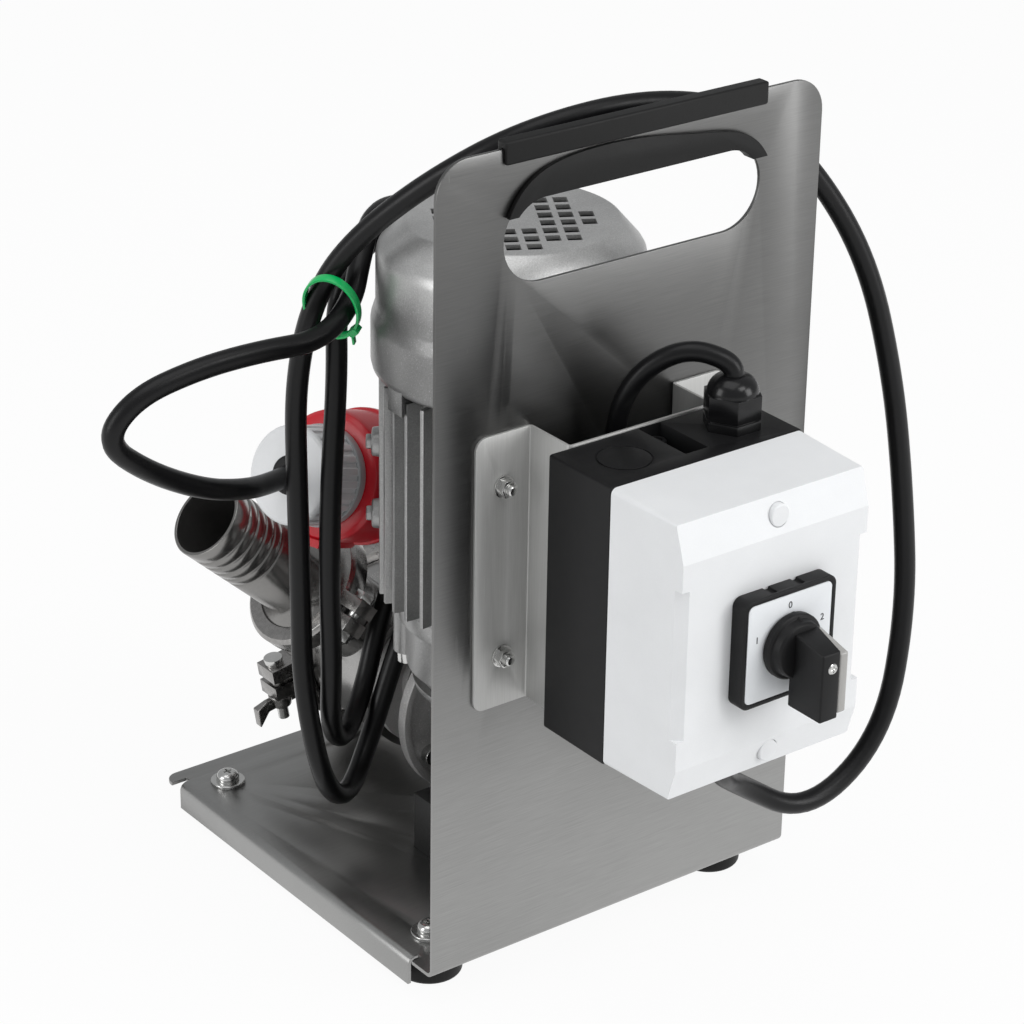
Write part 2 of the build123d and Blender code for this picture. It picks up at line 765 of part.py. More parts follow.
# Motor housing: a finned tube with two cast side bosses
with BuildPart() as motor_housing:
    with BuildSketch(Plane.XY.offset(housing_z)):
        with Locations((motor_x, motor_y)):
            Circle(core_r)
            with PolarLocations((core_r + fin_r) / 2 - 1, fin_count):
                Rectangle(fin_r - core_r + 2, fin_t)
            Circle(bore_r, mode=Mode.SUBTRACT)
    extrude(amount=housing_h)
    boss_turn = 142.5
    with BuildSketch(Plane.XY.offset(housing_z)):
        with Locations((motor_x, motor_y)):
            with PolarLocations((core_r + fin_r + 5) / 2, 1, start_angle=boss_turn):
                Rectangle(fin_r + 5 - core_r, 14.0)
    extrude(amount=housing_h, mode=Mode.SUBTRACT)
    with BuildSketch(Plane.XY.offset(housing_z)):
        with Locations((motor_x, motor_y)):
            with PolarLocations(core_r + 2.0, 1, start_angle=boss_turn):
                Rectangle(6.0, 12.0)
    extrude(amount=housing_h)
    boss_plane = Plane(
        origin=(motor_x, motor_y, housing_z),
        x_dir=(0, 0, 1),
        z_dir=(math.cos(math.radians(boss_turn)), math.sin(math.radians(boss_turn)), 0),
    )
    with BuildSketch(boss_plane.offset(core_r - 2)):
        with Locations((42.0, 0), (80.0, 0)):
            Circle(boss_r)
    extrude(amount=fin_r + 5 - core_r + 2)
    pad_l = term_pad - core_r + 4
    with Locations((motor_x + term_pad - pad_l / 2, motor_y, housing_z + term_up)):
        Box(pad_l, term_w - 4, term_h - 4)
    with BuildSketch(Plane.XY.offset(cover_z - end_lip)):
        with Locations((motor_x, motor_y)):
            Circle(core_r)
    extrude(amount=end_lip + end_t)
    with Locations((motor_x, motor_y, cover_z)):
        Cylinder(bearing_out_r + run_gap, 2 * (bearing_w - 3), mode=Mode.SUBTRACT)
        Cylinder(shaft_r + 1.0, 4 * end_t, mode=Mode.SUBTRACT)
save(motor_housing, "motor_housing")

with BuildPart() as stator:
    with BuildSketch(Plane.XY.offset(housing_z + 14)):
        with Locations((motor_x, motor_y)):
            Circle(bore_r - trim_gap)
            Circle(stator_in_r, mode=Mode.SUBTRACT)
            with PolarLocations(stator_in_r + 6, 12):
                Rectangle(10.0, 6.0, mode=Mode.SUBTRACT)
    extrude(amount=housing_h - 28)
save(stator, "stator")

# Drive-end shield with four ears, its bearing seat and the register for the gearbox
with BuildPart() as drive_end_shield:
    with BuildSketch(Plane.XY.offset(shield_z)):
        with Locations((motor_x, motor_y)):
            Circle(register_r)
    extrude(amount=ear_low + 4)
    with BuildSketch(Plane.XY.offset(shield_z + ear_low)):
        with Locations((motor_x, motor_y)):
            Circle(core_r - 4)
            with PolarLocations(ear_out, 4, start_angle=45):
                Circle(ear_r)
    extrude(amount=ear_h)
    with BuildSketch(Plane.XY.offset(shield_z + ear_low + ear_h)):
        with Locations((motor_x, motor_y)):
            Circle(core_r)
    extrude(amount=shield_h - ear_low - ear_h)
    with Locations((motor_x, motor_y, housing_z - 16)):
        Cylinder(bore_r - 4, 32.0, mode=Mode.SUBTRACT)
    with Locations((motor_x, motor_y, shield_z + 14)):
        Cylinder(bearing_out_r + 5, 20.0)
    with Locations((motor_x, motor_y, housing_z)):
        Cylinder(bearing_out_r + run_gap, 2 * (shield_h - 13), mode=Mode.SUBTRACT)
    with Locations((motor_x, motor_y, shield_z)):
        Cylinder(shaft_r + 3, 2 * shield_h, mode=Mode.SUBTRACT)
    with Locations((motor_x, motor_y)):
        with PolarLocations(ear_out, 4, start_angle=45):
            with Locations((0, 0, shield_z + ear_low)):
                Cylinder(3.0 + hole_gap, 2 * shield_h, mode=Mode.SUBTRACT)
save(drive_end_shield, "drive_end_shield")

# Shield bolts under the ears, up through them
with BuildPart() as shield_bolts:
    with BuildSketch(Plane.XY.offset(shield_z + ear_low - 6)):
        with Locations((motor_x, motor_y)):
            with PolarLocations(ear_out, 4, start_angle=45):
                Circle(5.0)
    extrude(amount=6.0)
    with BuildSketch(Plane.XY.offset(shield_z + ear_low)):
        with Locations((motor_x, motor_y)):
            with PolarLocations(ear_out, 4, start_angle=45):
                Circle(3.0)
    extrude(amount=ear_h + 2)
save(shield_bolts, "shield_bolts")

# Ball bearings as plain rings: two on the motor shaft and one on the pump shaft
drive_bearing_z = shield_z + bearing_up
fan_bearing_z = cover_z - 3
with BuildPart() as shaft_bearings:
    for seat_z in (drive_bearing_z, fan_bearing_z):
        with BuildSketch(Plane.XY.offset(seat_z)):
            with Locations((motor_x, motor_y)):
                Circle(bearing_out_r)
                Circle(shaft_r + run_gap, mode=Mode.SUBTRACT)
        extrude(amount=bearing_w)
    with BuildSketch(depth_plane(gear_back)):
        with Locations((0, pump_z)):
            Circle(bearing_out_r)
            Circle(shaft_r + run_gap, mode=Mode.SUBTRACT)
    extrude(amount=bearing_w)
save(shaft_bearings, "shaft_bearings")

# Rotor on its shaft, which ends in the worm
shaft_top = cover_z + 44
worm_low = pump_z - 16
with BuildPart() as rotor_shaft:
    with BuildSketch(Plane.XY.offset(worm_low)):
        with Locations((motor_x, motor_y)):
            Circle(shaft_r)
    extrude(amount=shaft_top - worm_low)
    with BuildSketch(Plane.XY.offset(housing_z + 14)):
        with Locations((motor_x, motor_y)):
            Circle(rotor_r)
    extrude(amount=housing_h - 28)
    with BuildSketch(Plane.XY.offset(pump_z - worm_l / 2)):
        with Locations((motor_x, motor_y)):
            Circle(worm_r)
    extrude(amount=worm_l)
save(rotor_shaft, "rotor_shaft")

# Radial fan on the shaft's top end
with BuildPart() as cooling_fan:
    fan_z = cover_z + fan_up
    with BuildSketch(Plane.XY.offset(fan_z)):
        with Locations((motor_x, motor_y)):
            Circle(fan_r)
            Circle(shaft_r, mode=Mode.SUBTRACT)
    extrude(amount=2.5)
    with BuildSketch(Plane.XY.offset(fan_z)):
        with Locations((motor_x, motor_y)):
            with PolarLocations((fan_r + fan_hub_r) / 2, fan_blades):
                Rectangle(fan_r - fan_hub_r - 1, 2.5)
            Circle(fan_hub_r)
            Circle(shaft_r, mode=Mode.SUBTRACT)
    extrude(amount=22.0)
save(cooling_fan, "cooling_fan")

# Fan cover: a domed shell whose flat top is a grille of rectangular slots
with BuildPart() as fan_cover:
    for skin, way in ((0, Mode.ADD), (fan_cover_t, Mode.SUBTRACT)):
        side_r = fan_cover_r - skin
        rim_r = fan_cover_top_r - skin
        shoulder_z = cover_z + fan_cover_straight - skin / 2
        peak_z = cover_top_z - skin
        with BuildSketch(Plane((motor_x, motor_y, 0), x_dir=(1, 0, 0), z_dir=(0, -1, 0))):
            with BuildLine():
                Polyline((0, peak_z), (0, cover_z), (side_r, cover_z), (side_r, shoulder_z))
                Spline(
                    (side_r, shoulder_z),
                    (side_r - 3.2, shoulder_z + 9),
                    (rim_r + 1.2, peak_z - 2.2),
                    (rim_r - 2.5, peak_z),
                )
                Line((rim_r - 2.5, peak_z), (0, peak_z))
            make_face()
        revolve(axis=Axis((motor_x, motor_y, 0), (0, 0, 1)), mode=way)
    rows = int(grille_r / grille_pitch_y)
    slots = []
    for row in range(-rows, rows + 1):
        for column in range(-rows - 1, rows + 2):
            slot_at = (column * grille_pitch_x - row * grille_shift % grille_pitch_x, row * grille_pitch_y)
            if math.hypot(*slot_at) < grille_r - grille_slot_w / 2:
                slots.append(slot_at)
    grille_plane = Plane((motor_x, motor_y, cover_top_z)).rotated((0, 0, grille_turn))
    with BuildSketch(grille_plane):
        with Locations(*slots):
            Rectangle(grille_slot_w, grille_slot_h)
    extrude(amount=-2 * fan_cover_t, mode=Mode.SUBTRACT)
    with BuildSketch(Plane.XY.offset(cover_z + 2)):
        with Locations((motor_x, motor_y)):
            with PolarLocations((core_r + fan_cover_r) / 2, 4, start_angle=45):
                Rectangle(fan_cover_r - core_r - 1.5, 12.0)
            Circle(core_r + trim_gap, mode=Mode.SUBTRACT)
    extrude(amount=5.0)
save(fan_cover, "fan_cover")

# Worm gearbox: a ribbed housing with the wheel's pocket, open to a side cover
with BuildPart() as gearbox_housing:
    gear_mid_z = base_z + gear_low + gear_h / 2
    with BuildSketch(depth_plane(gear_front)):
        with Locations((motor_x + pump_off, gear_mid_z)):
            RectangleRounded(gear_w, gear_h, 9.0)
    extrude(amount=-gear_d)
    with BuildSketch(Plane.XY.offset(shield_z)):
        with Locations((motor_x, motor_y)):
            Circle(bore_r)
    extrude(amount=-16.0)
    for side in (-1, 1):
        pad_x = motor_x + pump_off + side * gear_w / 2
        with Locations(
            (pad_x, gear_front + 9, gear_mid_z - 2),
            (pad_x, gear_back - 9, gear_mid_z - 2),
        ):
            Box(8.0, 9.0, gear_h - 16)
        with Locations(
            (pad_x, gear_front + 9, gear_mid_z - gear_h / 2 + 7),
            (pad_x, gear_back - 9, gear_mid_z - gear_h / 2 + 7),
            (pad_x, gear_front + 9, gear_mid_z + 4),
            (pad_x, gear_back - 9, gear_mid_z + 4),
        ):
            Box(12.0, 14.0, 11.0)
    with BuildSketch(depth_plane(gear_front)):
        with Locations((0, pump_z)):
            Circle(wheel_pocket_r)
    extrude(amount=-(gear_d / 2 + wheel_w / 2 + 1), mode=Mode.SUBTRACT)
    with BuildSketch(depth_plane(gear_front)):
        with Locations((0, pump_z)):
            Circle(wheel_pocket_r + 3)
    extrude(amount=-6.0, mode=Mode.SUBTRACT)
    with BuildSketch(depth_plane(gear_back)):
        with Locations((0, pump_z)):
            Circle(bearing_out_r + run_gap)
    extrude(amount=bearing_w, mode=Mode.SUBTRACT)
    with BuildSketch(depth_plane(gear_back)):
        with Locations((0, pump_z)):
            Circle(shaft_r + 2)
    extrude(amount=gear_d, mode=Mode.SUBTRACT)
    with Locations((motor_x, motor_y, shield_z)):
        Cylinder(worm_r + 1.2, 2 * (shield_z - pump_z + 20), mode=Mode.SUBTRACT)
    with BuildSketch(Plane.XY.offset(base_z + gear_low)):
        with Locations(*gear_screw_points):
            Circle(gear_screw_r + hole_gap)
    extrude(amount=14.0, mode=Mode.SUBTRACT)
save(gearbox_housing, "gearbox_housing")

# Round cover over the wheel pocket on the gearbox's front side
with BuildPart() as gearbox_cover:
    with BuildSketch(depth_plane(gear_front + 6)):
        with Locations((0, pump_z)):
            Circle(wheel_pocket_r + 3 - run_gap)
    extrude(amount=7.0)
    with BuildSketch(depth_plane(gear_front + 6)):
        with Locations((0, pump_z)):
            Circle(shaft_r + 1)
    extrude(amount=4.0, mode=Mode.SUBTRACT)
save(gearbox_cover, "gearbox_cover")

# Riser between the gearbox and the base, with the four long mounting screws
with BuildPart() as gearbox_riser:
    with Locations((motor_x + pump_off, motor_y, (base_top + base_z + gear_low) / 2)):
        Box(gear_w - 8, gear_d - 6, base_z + gear_low - base_top)
    with BuildSketch(Plane.XY.offset(base_top)):
        with Locations(*gear_screw_points):
            Circle(gear_screw_r + hole_gap)
    extrude(amount=gear_low, mode=Mode.SUBTRACT)
save(gearbox_riser, "gearbox_riser")

with BuildPart() as riser_screws:
    with BuildSketch(Plane.XY.offset(base_z)):
        with Locations(*gear_screw_points):
            Circle(5.2)
    extrude(amount=-3.4)
    with BuildSketch(Plane.XY.offset(base_z)):
        with Locations(*gear_screw_points):
            Circle(gear_screw_r)
    extrude(amount=gear_low + 12.0)
save(riser_screws, "riser_screws")

# Output neck and the round flange that carries the pump
with BuildPart() as output_flange:
    with BuildSketch(depth_plane(gear_back)):
        with Locations((0, pump_z)):
            Circle(neck_r)
    extrude(amount=-disc_gap)
    with BuildSketch(depth_plane(disc_y)):
        with Locations((0, pump_z)):
            Circle(disc_r)
    extrude(amount=-disc_t)
    with BuildSketch(depth_plane(disc_y)):
        with Locations((0, pump_z)):
            Circle(disc_r - 4)
            Circle(neck_r + 3, mode=Mode.SUBTRACT)
    extrude(amount=-1.5, mode=Mode.SUBTRACT)
    with BuildSketch(depth_plane(gear_back)):
        with Locations((0, pump_z)):
            Circle(shaft_r + 2)
            with PolarLocations(disc_screw_out, 6, start_angle=30):
                Circle(3.0 + hole_gap)
    extrude(amount=-(disc_gap + disc_t), mode=Mode.SUBTRACT)
save(output_flange, "output_flange")

with BuildPart() as flange_screws:
    with BuildSketch(depth_plane(disc_y + 1.5)):
        with Locations((0, pump_z)):
            with PolarLocations(disc_screw_out, 6, start_angle=30):
                Circle(5.0)
                RegularPolygon(2.5, 6, major_radius=False, mode=Mode.SUBTRACT)
    extrude(amount=5.0)
    with BuildSketch(depth_plane(disc_y + 1.5)):
        with Locations((0, pump_z)):
            with PolarLocations(disc_screw_out, 6, start_angle=30):
                Circle(3.0)
    extrude(amount=-(disc_t + 4))
save(flange_screws, "flange_screws")

# Lantern between the flange and the pump head, with two windows
with BuildPart() as lantern:
    with BuildSketch(depth_plane(lantern_y)):
        with Locations((0, pump_z)):
            Circle(disc_r - 6)
    extrude(amount=-6.0)
    with BuildSketch(depth_plane(lantern_y)):
        with Locations((0, pump_z)):
            Circle(lantern_r)
    extrude(amount=-lantern_l)
    with BuildSketch(depth_plane(body_y)):
        with Locations((0, pump_z)):
            Circle(pump_r - 4)
    extrude(amount=5.0)
    with BuildSketch(depth_plane(lantern_y)):
        with Locations((0, pump_z)):
            Circle(lantern_r - 5)
    extrude(amount=-lantern_l, mode=Mode.SUBTRACT)
    with Locations((0, lantern_y + lantern_l / 2 + 1, pump_z)):
        Box(4 * lantern_r, 16.0, 24.0, mode=Mode.SUBTRACT)
    with BuildSketch(depth_plane(lantern_y)):
        with Locations((0, pump_z)):
            with PolarLocations(disc_screw_out, 6, start_angle=30):
                Circle(3.0 + hole_gap)
    extrude(amount=-9.0, mode=Mode.SUBTRACT)
save(lantern, "lantern")

# Worm wheel keyed on the pump shaft, and the shaft's bearings
with BuildPart() as worm_wheel:
    with BuildSketch(depth_plane(motor_y - wheel_w / 2)):
        with Locations((0, pump_z)):
            Circle(wheel_r - 1.2)
            with PolarLocations(wheel_r - 1.2, wheel_teeth):
                Rectangle(2.4, 1.6)
            Circle(shaft_r, mode=Mode.SUBTRACT)
    extrude(amount=-wheel_w)
save(worm_wheel, "worm_wheel")

shaft_front = gear_front + 3
with BuildPart() as pump_shaft:
    with BuildSketch(depth_plane(shaft_front)):
        with Locations((0, pump_z)):
            Circle(shaft_r)
    extrude(amount=shaft_front - (rim_y - 2))
save(pump_shaft, "pump_shaft")

# Pump head: round body with two ports on its upper side
port_turns = (90 - port_angle, 90 + port_angle)


def port_plane(turn, out):
    # looking along a port: x along the pump shaft, z outwards
    x = math.cos(math.radians(turn))
    z = math.sin(math.radians(turn))
    return Plane(origin=(out * x, pump_y, pump_z + out * z), x_dir=(0, 1, 0), z_dir=(x, 0, z))


gasket_out = joint_out - gasket_t / 2
port_edge = math.sqrt(chamber_r**2 - (pipe_r - pipe_wall) ** 2) - 4
with BuildPart() as pump_body:
    with BuildSketch(depth_plane(body_y)):
        with Locations((0, pump_z)):
            Circle(pump_r)
    extrude(amount=-pump_w)
    with BuildSketch(depth_plane(rim_y - pump_rim_t)):
        with Locations((0, pump_z)):
            Circle(pump_rim_r)
    extrude(amount=-pump_rim_t)
    for turn in port_turns:
        with BuildSketch(port_plane(turn, 0)):
            Circle(pipe_r + 1.0)
        extrude(amount=pump_r + 8)
        with BuildSketch(port_plane(turn, 0)):
            Circle(pipe_r)
        extrude(amount=gasket_out)
        with BuildSketch(port_plane(turn, gasket_out - ferrule_t)):
            Circle(ferrule_r)
        extrude(amount=ferrule_t)
    with BuildSketch(depth_plane(chamber_y)):
        with Locations((0, pump_z)):
            Circle(chamber_r)
    extrude(amount=-pump_w, mode=Mode.SUBTRACT)
    for turn in port_turns:
        with BuildSketch(port_plane(turn, port_edge)):
            Circle(pipe_r - pipe_wall)
        extrude(amount=joint_out, mode=Mode.SUBTRACT)
    with BuildSketch(depth_plane(body_y)):
        with Locations((0, pump_z)):
            Circle(shaft_r + 4)
    extrude(amount=-pump_w, mode=Mode.SUBTRACT)
save(pump_body, "pump_body")

with BuildPart() as shaft_seal:
    with BuildSketch(depth_plane(body_y)):
        with Locations((0, pump_z)):
            Circle(shaft_r + 4 - run_gap)
            Circle(shaft_r + run_gap, mode=Mode.SUBTRACT)
    extrude(amount=-(chamber_wall - 1))
save(shaft_seal, "shaft_seal")

# Flexible impeller with rounded vane tips
with BuildPart() as impeller:
    with BuildSketch(depth_plane(chamber_y + impeller_gap)):
        with Locations((0, pump_z)):
            Circle(impeller_hub_r)
            with PolarLocations(impeller_r / 2, vane_count):
                Rectangle(impeller_r - vane_t, vane_t)
            with PolarLocations(impeller_r - vane_t, vane_count):
                Circle(vane_t)
            Circle(shaft_r, mode=Mode.SUBTRACT)
    extrude(amount=-(pump_w - chamber_wall - 2 * impeller_gap))
save(impeller, "impeller")

cover_face = rim_y
with BuildPart() as pump_cover:
    with BuildSketch(depth_plane(cover_face)):
        with Locations((0, pump_z)):
            Circle(pump_rim_r)
    extrude(amount=-cover_t)
    fillet(pump_cover.edges().group_by(Axis.Y)[-1], 1.5)
save(pump_cover, "pump_cover")

# Clamp rings: a channel section with one gap, closed by a bolt through two ears
rim_half = (cover_face + cover_t - rim_y + pump_rim_t) / 2
clamp_mid = rim_y - pump_rim_t + rim_half
split_x = math.cos(math.radians(cover_split))
split_z = math.sin(math.radians(cover_split))
cover_plane = Plane(
    origin=(0, clamp_mid, pump_z),
    x_dir=(split_x, 0, split_z),
    z_dir=(-split_z, 0, split_x),
)
with BuildPart() as cover_clamp:
    with BuildSketch(cover_plane.offset(-cover_ear_h / 2)):
        with Locations((cover_bolt_out - 5, 0)):
            Rectangle(22.0, cover_clamp_w)
    extrude(amount=cover_ear_h)
    with BuildSketch(depth_plane(clamp_mid - cover_clamp_w)):
        with Locations((0, pump_z)):
            Circle(cover_clamp_r - 2)
    extrude(amount=-2 * cover_clamp_w, mode=Mode.SUBTRACT)
    with BuildSketch(cover_plane):
        with BuildLine():
            Polyline(
                (pump_rim_r + 0.3, -rim_half - 0.3),
                (pump_rim_r + 0.3, rim_half + 0.3),
                (pump_rim_r - 4.0, rim_half + 0.3),
                (pump_rim_r - 4.0, cover_clamp_w / 2),
                (cover_clamp_r - 2.5, cover_clamp_w / 2),
                (cover_clamp_r, cover_clamp_w / 2 - 2.5),
                (cover_clamp_r, -cover_clamp_w / 2 + 2.5),
                (cover_clamp_r - 2.5, -cover_clamp_w / 2),
                (pump_rim_r - 2.0, -cover_clamp_w / 2),
                (pump_rim_r - 2.0, -rim_half - 0.3),
                close=True,
            )
        make_face()
    revolve(axis=Axis((0, clamp_mid, pump_z), (0, 1, 0)))
    with BuildSketch(cover_plane.offset(-clamp_gap / 2)):
        with Locations((cover_bolt_out, 0)):
            Rectangle(2 * (cover_bolt_out - pump_rim_r + 8), 2 * cover_clamp_w)
    extrude(amount=clamp_gap, mode=Mode.SUBTRACT)
    with BuildSketch(cover_plane.offset(-cover_ear_h)):
        with Locations((cover_bolt_out, 0)):
            Circle(clamp_bolt_r + hole_gap)
    extrude(amount=2 * cover_ear_h, mode=Mode.SUBTRACT)
save(cover_clamp, "cover_clamp")

with BuildPart() as cover_clamp_bolt:
    with BuildSketch(cover_plane.offset(-cover_ear_h / 2)):
        with Locations((cover_bolt_out, 0)):
            Circle(5.0)
    extrude(amount=-4.0)
    with BuildSketch(cover_plane.offset(-cover_ear_h / 2)):
        with Locations((cover_bolt_out, 0)):
            Circle(clamp_bolt_r)
    extrude(amount=cover_ear_h + wing_hub_h + 7)
save(cover_clamp_bolt, "cover_clamp_bolt")

# Wing nut on the clamp bolt
with BuildPart() as wing_nut:
    with BuildSketch(cover_plane.offset(cover_ear_h / 2)):
        with Locations((cover_bolt_out, 0)):
            Circle(wing_hub_r)
    extrude(amount=wing_hub_h)
    wing_plane = Plane(
        origin=cover_plane.from_local_coords((cover_bolt_out - 1.5, 0, cover_ear_h / 2)),
        x_dir=(0, 1, 0),
        z_dir=cover_plane.x_dir,
    )
    with BuildSketch(wing_plane):
        for side in (-1, 1):
            with BuildLine():
                Polyline(
                    (side * 2.0, 0.5),
                    (side * (wing_hub_r + 2), 1.0),
                    (side * wing_reach, 14.5),
                    (side * (wing_reach - 1), 20.0),
                    (side * (wing_reach - 5), 20.5),
                    (side * 4.0, 9.0),
                    (side * 2.0, 8.0),
                    close=True,
                )
            make_face()
    extrude(amount=3.0)
    with BuildSketch(cover_plane.offset(cover_ear_h / 2)):
        with Locations((cover_bolt_out, 0)):
            Circle(clamp_bolt_r + run_gap)
    extrude(amount=3 * wing_hub_h, mode=Mode.SUBTRACT)
save(wing_nut, "wing_nut")

# Hose barbs, gaskets and clamps of the two ports
with BuildPart() as port_gaskets:
    for turn in port_turns:
        with BuildSketch(port_plane(turn, gasket_out)):
            Circle(ferrule_r - 1)
            Circle(pipe_r - pipe_wall, mode=Mode.SUBTRACT)
        extrude(amount=gasket_t)
save(port_gaskets, "port_gaskets")

barb_start = gasket_out + gasket_t
barb_parts = []
for turn, name in zip(port_turns, ("right_hose_barb", "left_hose_barb")):
    with BuildPart() as hose_barb:
        with BuildSketch(port_plane(turn, barb_start)):
            Circle(ferrule_r)
        extrude(amount=ferrule_t)
        with BuildSketch(port_plane(turn, barb_start)):
            Circle(pipe_r)
        extrude(amount=barb_out - barb_start)
        chamfer(hose_barb.edges().filter_by(GeomType.CIRCLE).sort_by_distance(port_plane(turn, barb_out).origin)[0], 0.5)
        for rib in range(rib_count):
            with BuildSketch(port_plane(turn, barb_out - rib_start - rib * rib_pitch)):
                Circle(pipe_r + 1)
                Circle(pipe_r - groove_depth, mode=Mode.SUBTRACT)
            extrude(amount=-1.8, mode=Mode.SUBTRACT)
        with BuildSketch(port_plane(turn, barb_start)):
            Circle(pipe_r - pipe_wall)
        extrude(amount=barb_out, mode=Mode.SUBTRACT)
    save(hose_barb, name)

joint_half = ferrule_t + gasket_t / 2
clamp_bolt_out = clamp_r + 6.0
for turn, name in zip(port_turns, ("right_port_clamp", "left_port_clamp")):
    axis_x = math.cos(math.radians(turn))
    axis_z = math.sin(math.radians(turn))
    ring_plane = Plane(
        origin=(joint_out * axis_x, pump_y, pump_z + joint_out * axis_z),
        x_dir=(0, -1, 0),
        z_dir=(-axis_z, 0, axis_x),
    )
    with BuildPart() as port_clamp:
        with BuildSketch(ring_plane.offset(-clamp_ear)):
            with Locations((clamp_bolt_out - 2, 0)):
                Rectangle(16.0, clamp_w)
        extrude(amount=2 * clamp_ear)
        with BuildSketch(port_plane(turn, joint_out - clamp_w)):
            Circle(clamp_r - 2)
        extrude(amount=2 * clamp_w, mode=Mode.SUBTRACT)
        with BuildSketch(ring_plane):
            with BuildLine():
                Polyline(
                    (ferrule_r + 0.3, -joint_half - 0.3),
                    (ferrule_r + 0.3, joint_half + 0.3),
                    (ferrule_r - 4.0, joint_half + 0.3),
                    (ferrule_r - 4.0, clamp_w / 2),
                    (clamp_r - 2.0, clamp_w / 2),
                    (clamp_r, clamp_w / 2 - 2.0),
                    (clamp_r, -clamp_w / 2 + 2.0),
                    (clamp_r - 2.0, -clamp_w / 2),
                    (ferrule_r - 4.0, -clamp_w / 2),
                    (ferrule_r - 4.0, -joint_half - 0.3),
                    close=True,
                )
            make_face()
        revolve(axis=Axis(ring_plane.origin, (axis_x, 0, axis_z)))
        with BuildSketch(ring_plane.offset(-clamp_gap / 2)):
            with Locations((clamp_bolt_out, 0)):
                Rectangle(2 * (clamp_bolt_out - ferrule_r + 8), 2 * clamp_w)
        extrude(amount=clamp_gap, mode=Mode.SUBTRACT)
        with BuildSketch(ring_plane.offset(-2 * clamp_ear)):
            with Locations((clamp_bolt_out, 0)):
                Circle(clamp_bolt_r + hole_gap)
        extrude(amount=4 * clamp_ear, mode=Mode.SUBTRACT)
    save(port_clamp, name)

port_planes = [
    Plane(
        origin=(
            joint_out * math.cos(math.radians(turn)),
            pump_y,
            pump_z + joint_out * math.sin(math.radians(turn)),
        ),
        x_dir=(0, -1, 0),
        z_dir=(-math.sin(math.radians(turn)), 0, math.cos(math.radians(turn))),
    )
    for turn in port_turns
]
with BuildPart() as port_clamp_bolts:
    for ring_plane in port_planes:
        with BuildSketch(ring_plane.offset(-clamp_ear)):
            with Locations((clamp_bolt_out, 0)):
                RegularPolygon(5.0, 6, major_radius=False)
        extrude(amount=-4.0)
        with BuildSketch(ring_plane.offset(-clamp_ear)):
            with Locations((clamp_bolt_out, 0)):
                Circle(clamp_bolt_r)
        extrude(amount=2 * clamp_ear + 8)
save(port_clamp_bolts, "port_clamp_bolts")

with BuildPart() as port_clamp_nuts:
    for ring_plane in port_planes:
        with BuildSketch(ring_plane.offset(clamp_ear)):
            with Locations((clamp_bolt_out, 0)):
                RegularPolygon(5.0, 6, major_radius=False)
                Circle(clamp_bolt_r + run_gap, mode=Mode.SUBTRACT)
        extrude(amount=5.0)
save(port_clamp_nuts, "port_clamp_nuts")

# Terminal box on the motor's far side, where the lead from the switch ends
term_x = motor_x + term_pad
term_z = housing_z + term_up
term_lid_x = term_x + term_depth
term_gland_x = term_x + term_depth / 2
with BuildPart() as terminal_box:
    with BuildSketch(Plane.YZ.offset(term_x)):
        with Locations((motor_y, term_z)):
            RectangleRounded(term_w, term_h, 5.0)
    extrude(amount=term_depth)
    with BuildSketch(Plane.YZ.offset(term_x + 3)):
        with Locations((motor_y, term_z)):
            Rectangle(term_w - 6, term_h - 6)
            with GridLocations(term_w - 10, term_h - 10, 2, 2):
                Circle(4.5, mode=Mode.SUBTRACT)
    extrude(amount=term_depth, mode=Mode.SUBTRACT)
    with BuildSketch(depth_plane(motor_y - term_w / 2)):
        with Locations((term_gland_x, term_z)):
            RegularPolygon(9.5, 6, major_radius=False)
    extrude(amount=term_gland_l)
    chamfer(terminal_box.edges().group_by(Axis.Y)[0], 1.5)
save(terminal_box, "terminal_box")

with BuildPart() as terminal_lid:
    with BuildSketch(Plane.YZ.offset(term_lid_x)):
        with Locations((motor_y, term_z)):
            RectangleRounded(term_w, term_h, 5.0)
    extrude(amount=term_lid_t)
    chamfer(terminal_lid.edges().filter_by(GeomType.LINE).group_by(Axis.X)[-1], 1.0)
save(terminal_lid, "terminal_lid")

# Cable tie round the three strands of the hank
def from_plate(points):
    # route points, given from the foot of the plate's front face
    return [(plate_x + x, plate_y + y, base_z + z) for x, y, z in points]


def corner_radii(points):
    # each corner as round as its shorter run allows
    radii = []
    for before, corner, after in zip(points, points[1:], points[2:]):
        first = Vector(*corner) - Vector(*before)
        second = Vector(*after) - Vector(*corner)
        half_turn = math.radians(first.get_angle(second)) / 2
        radii.append(0.45 * min(first.length, second.length) / math.tan(half_turn))
    return radii


strands = from_plate([(-87.8, 120.4, 305.4), (-75.9, 125.8, 299.0), (-80.3, 111.4, 300.3)])
tie_plane = Plane(
    origin=from_plate([(-82, 119.5, 302)])[0],
    x_dir=(0.08, 0.5, 0),
    z_dir=(-0.5, 0.08, -0.86),
)
strand_spots = [tie_plane.to_local_coords(Vector(*spot)) for spot in strands]
with BuildPart() as cable_tie:
    with BuildSketch(tie_plane.offset(-tie_h / 2)):
        with Locations(*[(spot.X, spot.Y) for spot in strand_spots]):
            Circle(mains_r + tie_gap + tie_t)
        make_hull()
    extrude(amount=tie_h)
    with BuildSketch(tie_plane.offset(-tie_h / 2)):
        with Locations(*[(spot.X, spot.Y) for spot in strand_spots]):
            Circle(mains_r + tie_gap)
        make_hull()
    extrude(amount=tie_h, mode=Mode.SUBTRACT)
    head_spot = strand_spots[2]
    with BuildSketch(tie_plane.offset(-tie_h / 2 - 1)):
        with Locations((head_spot.X - mains_r - tie_gap - tie_t - 1.5, head_spot.Y)):
            Rectangle(4.5, 6.0)
    extrude(amount=tie_h + 2)
save(cable_tie, "cable_tie")

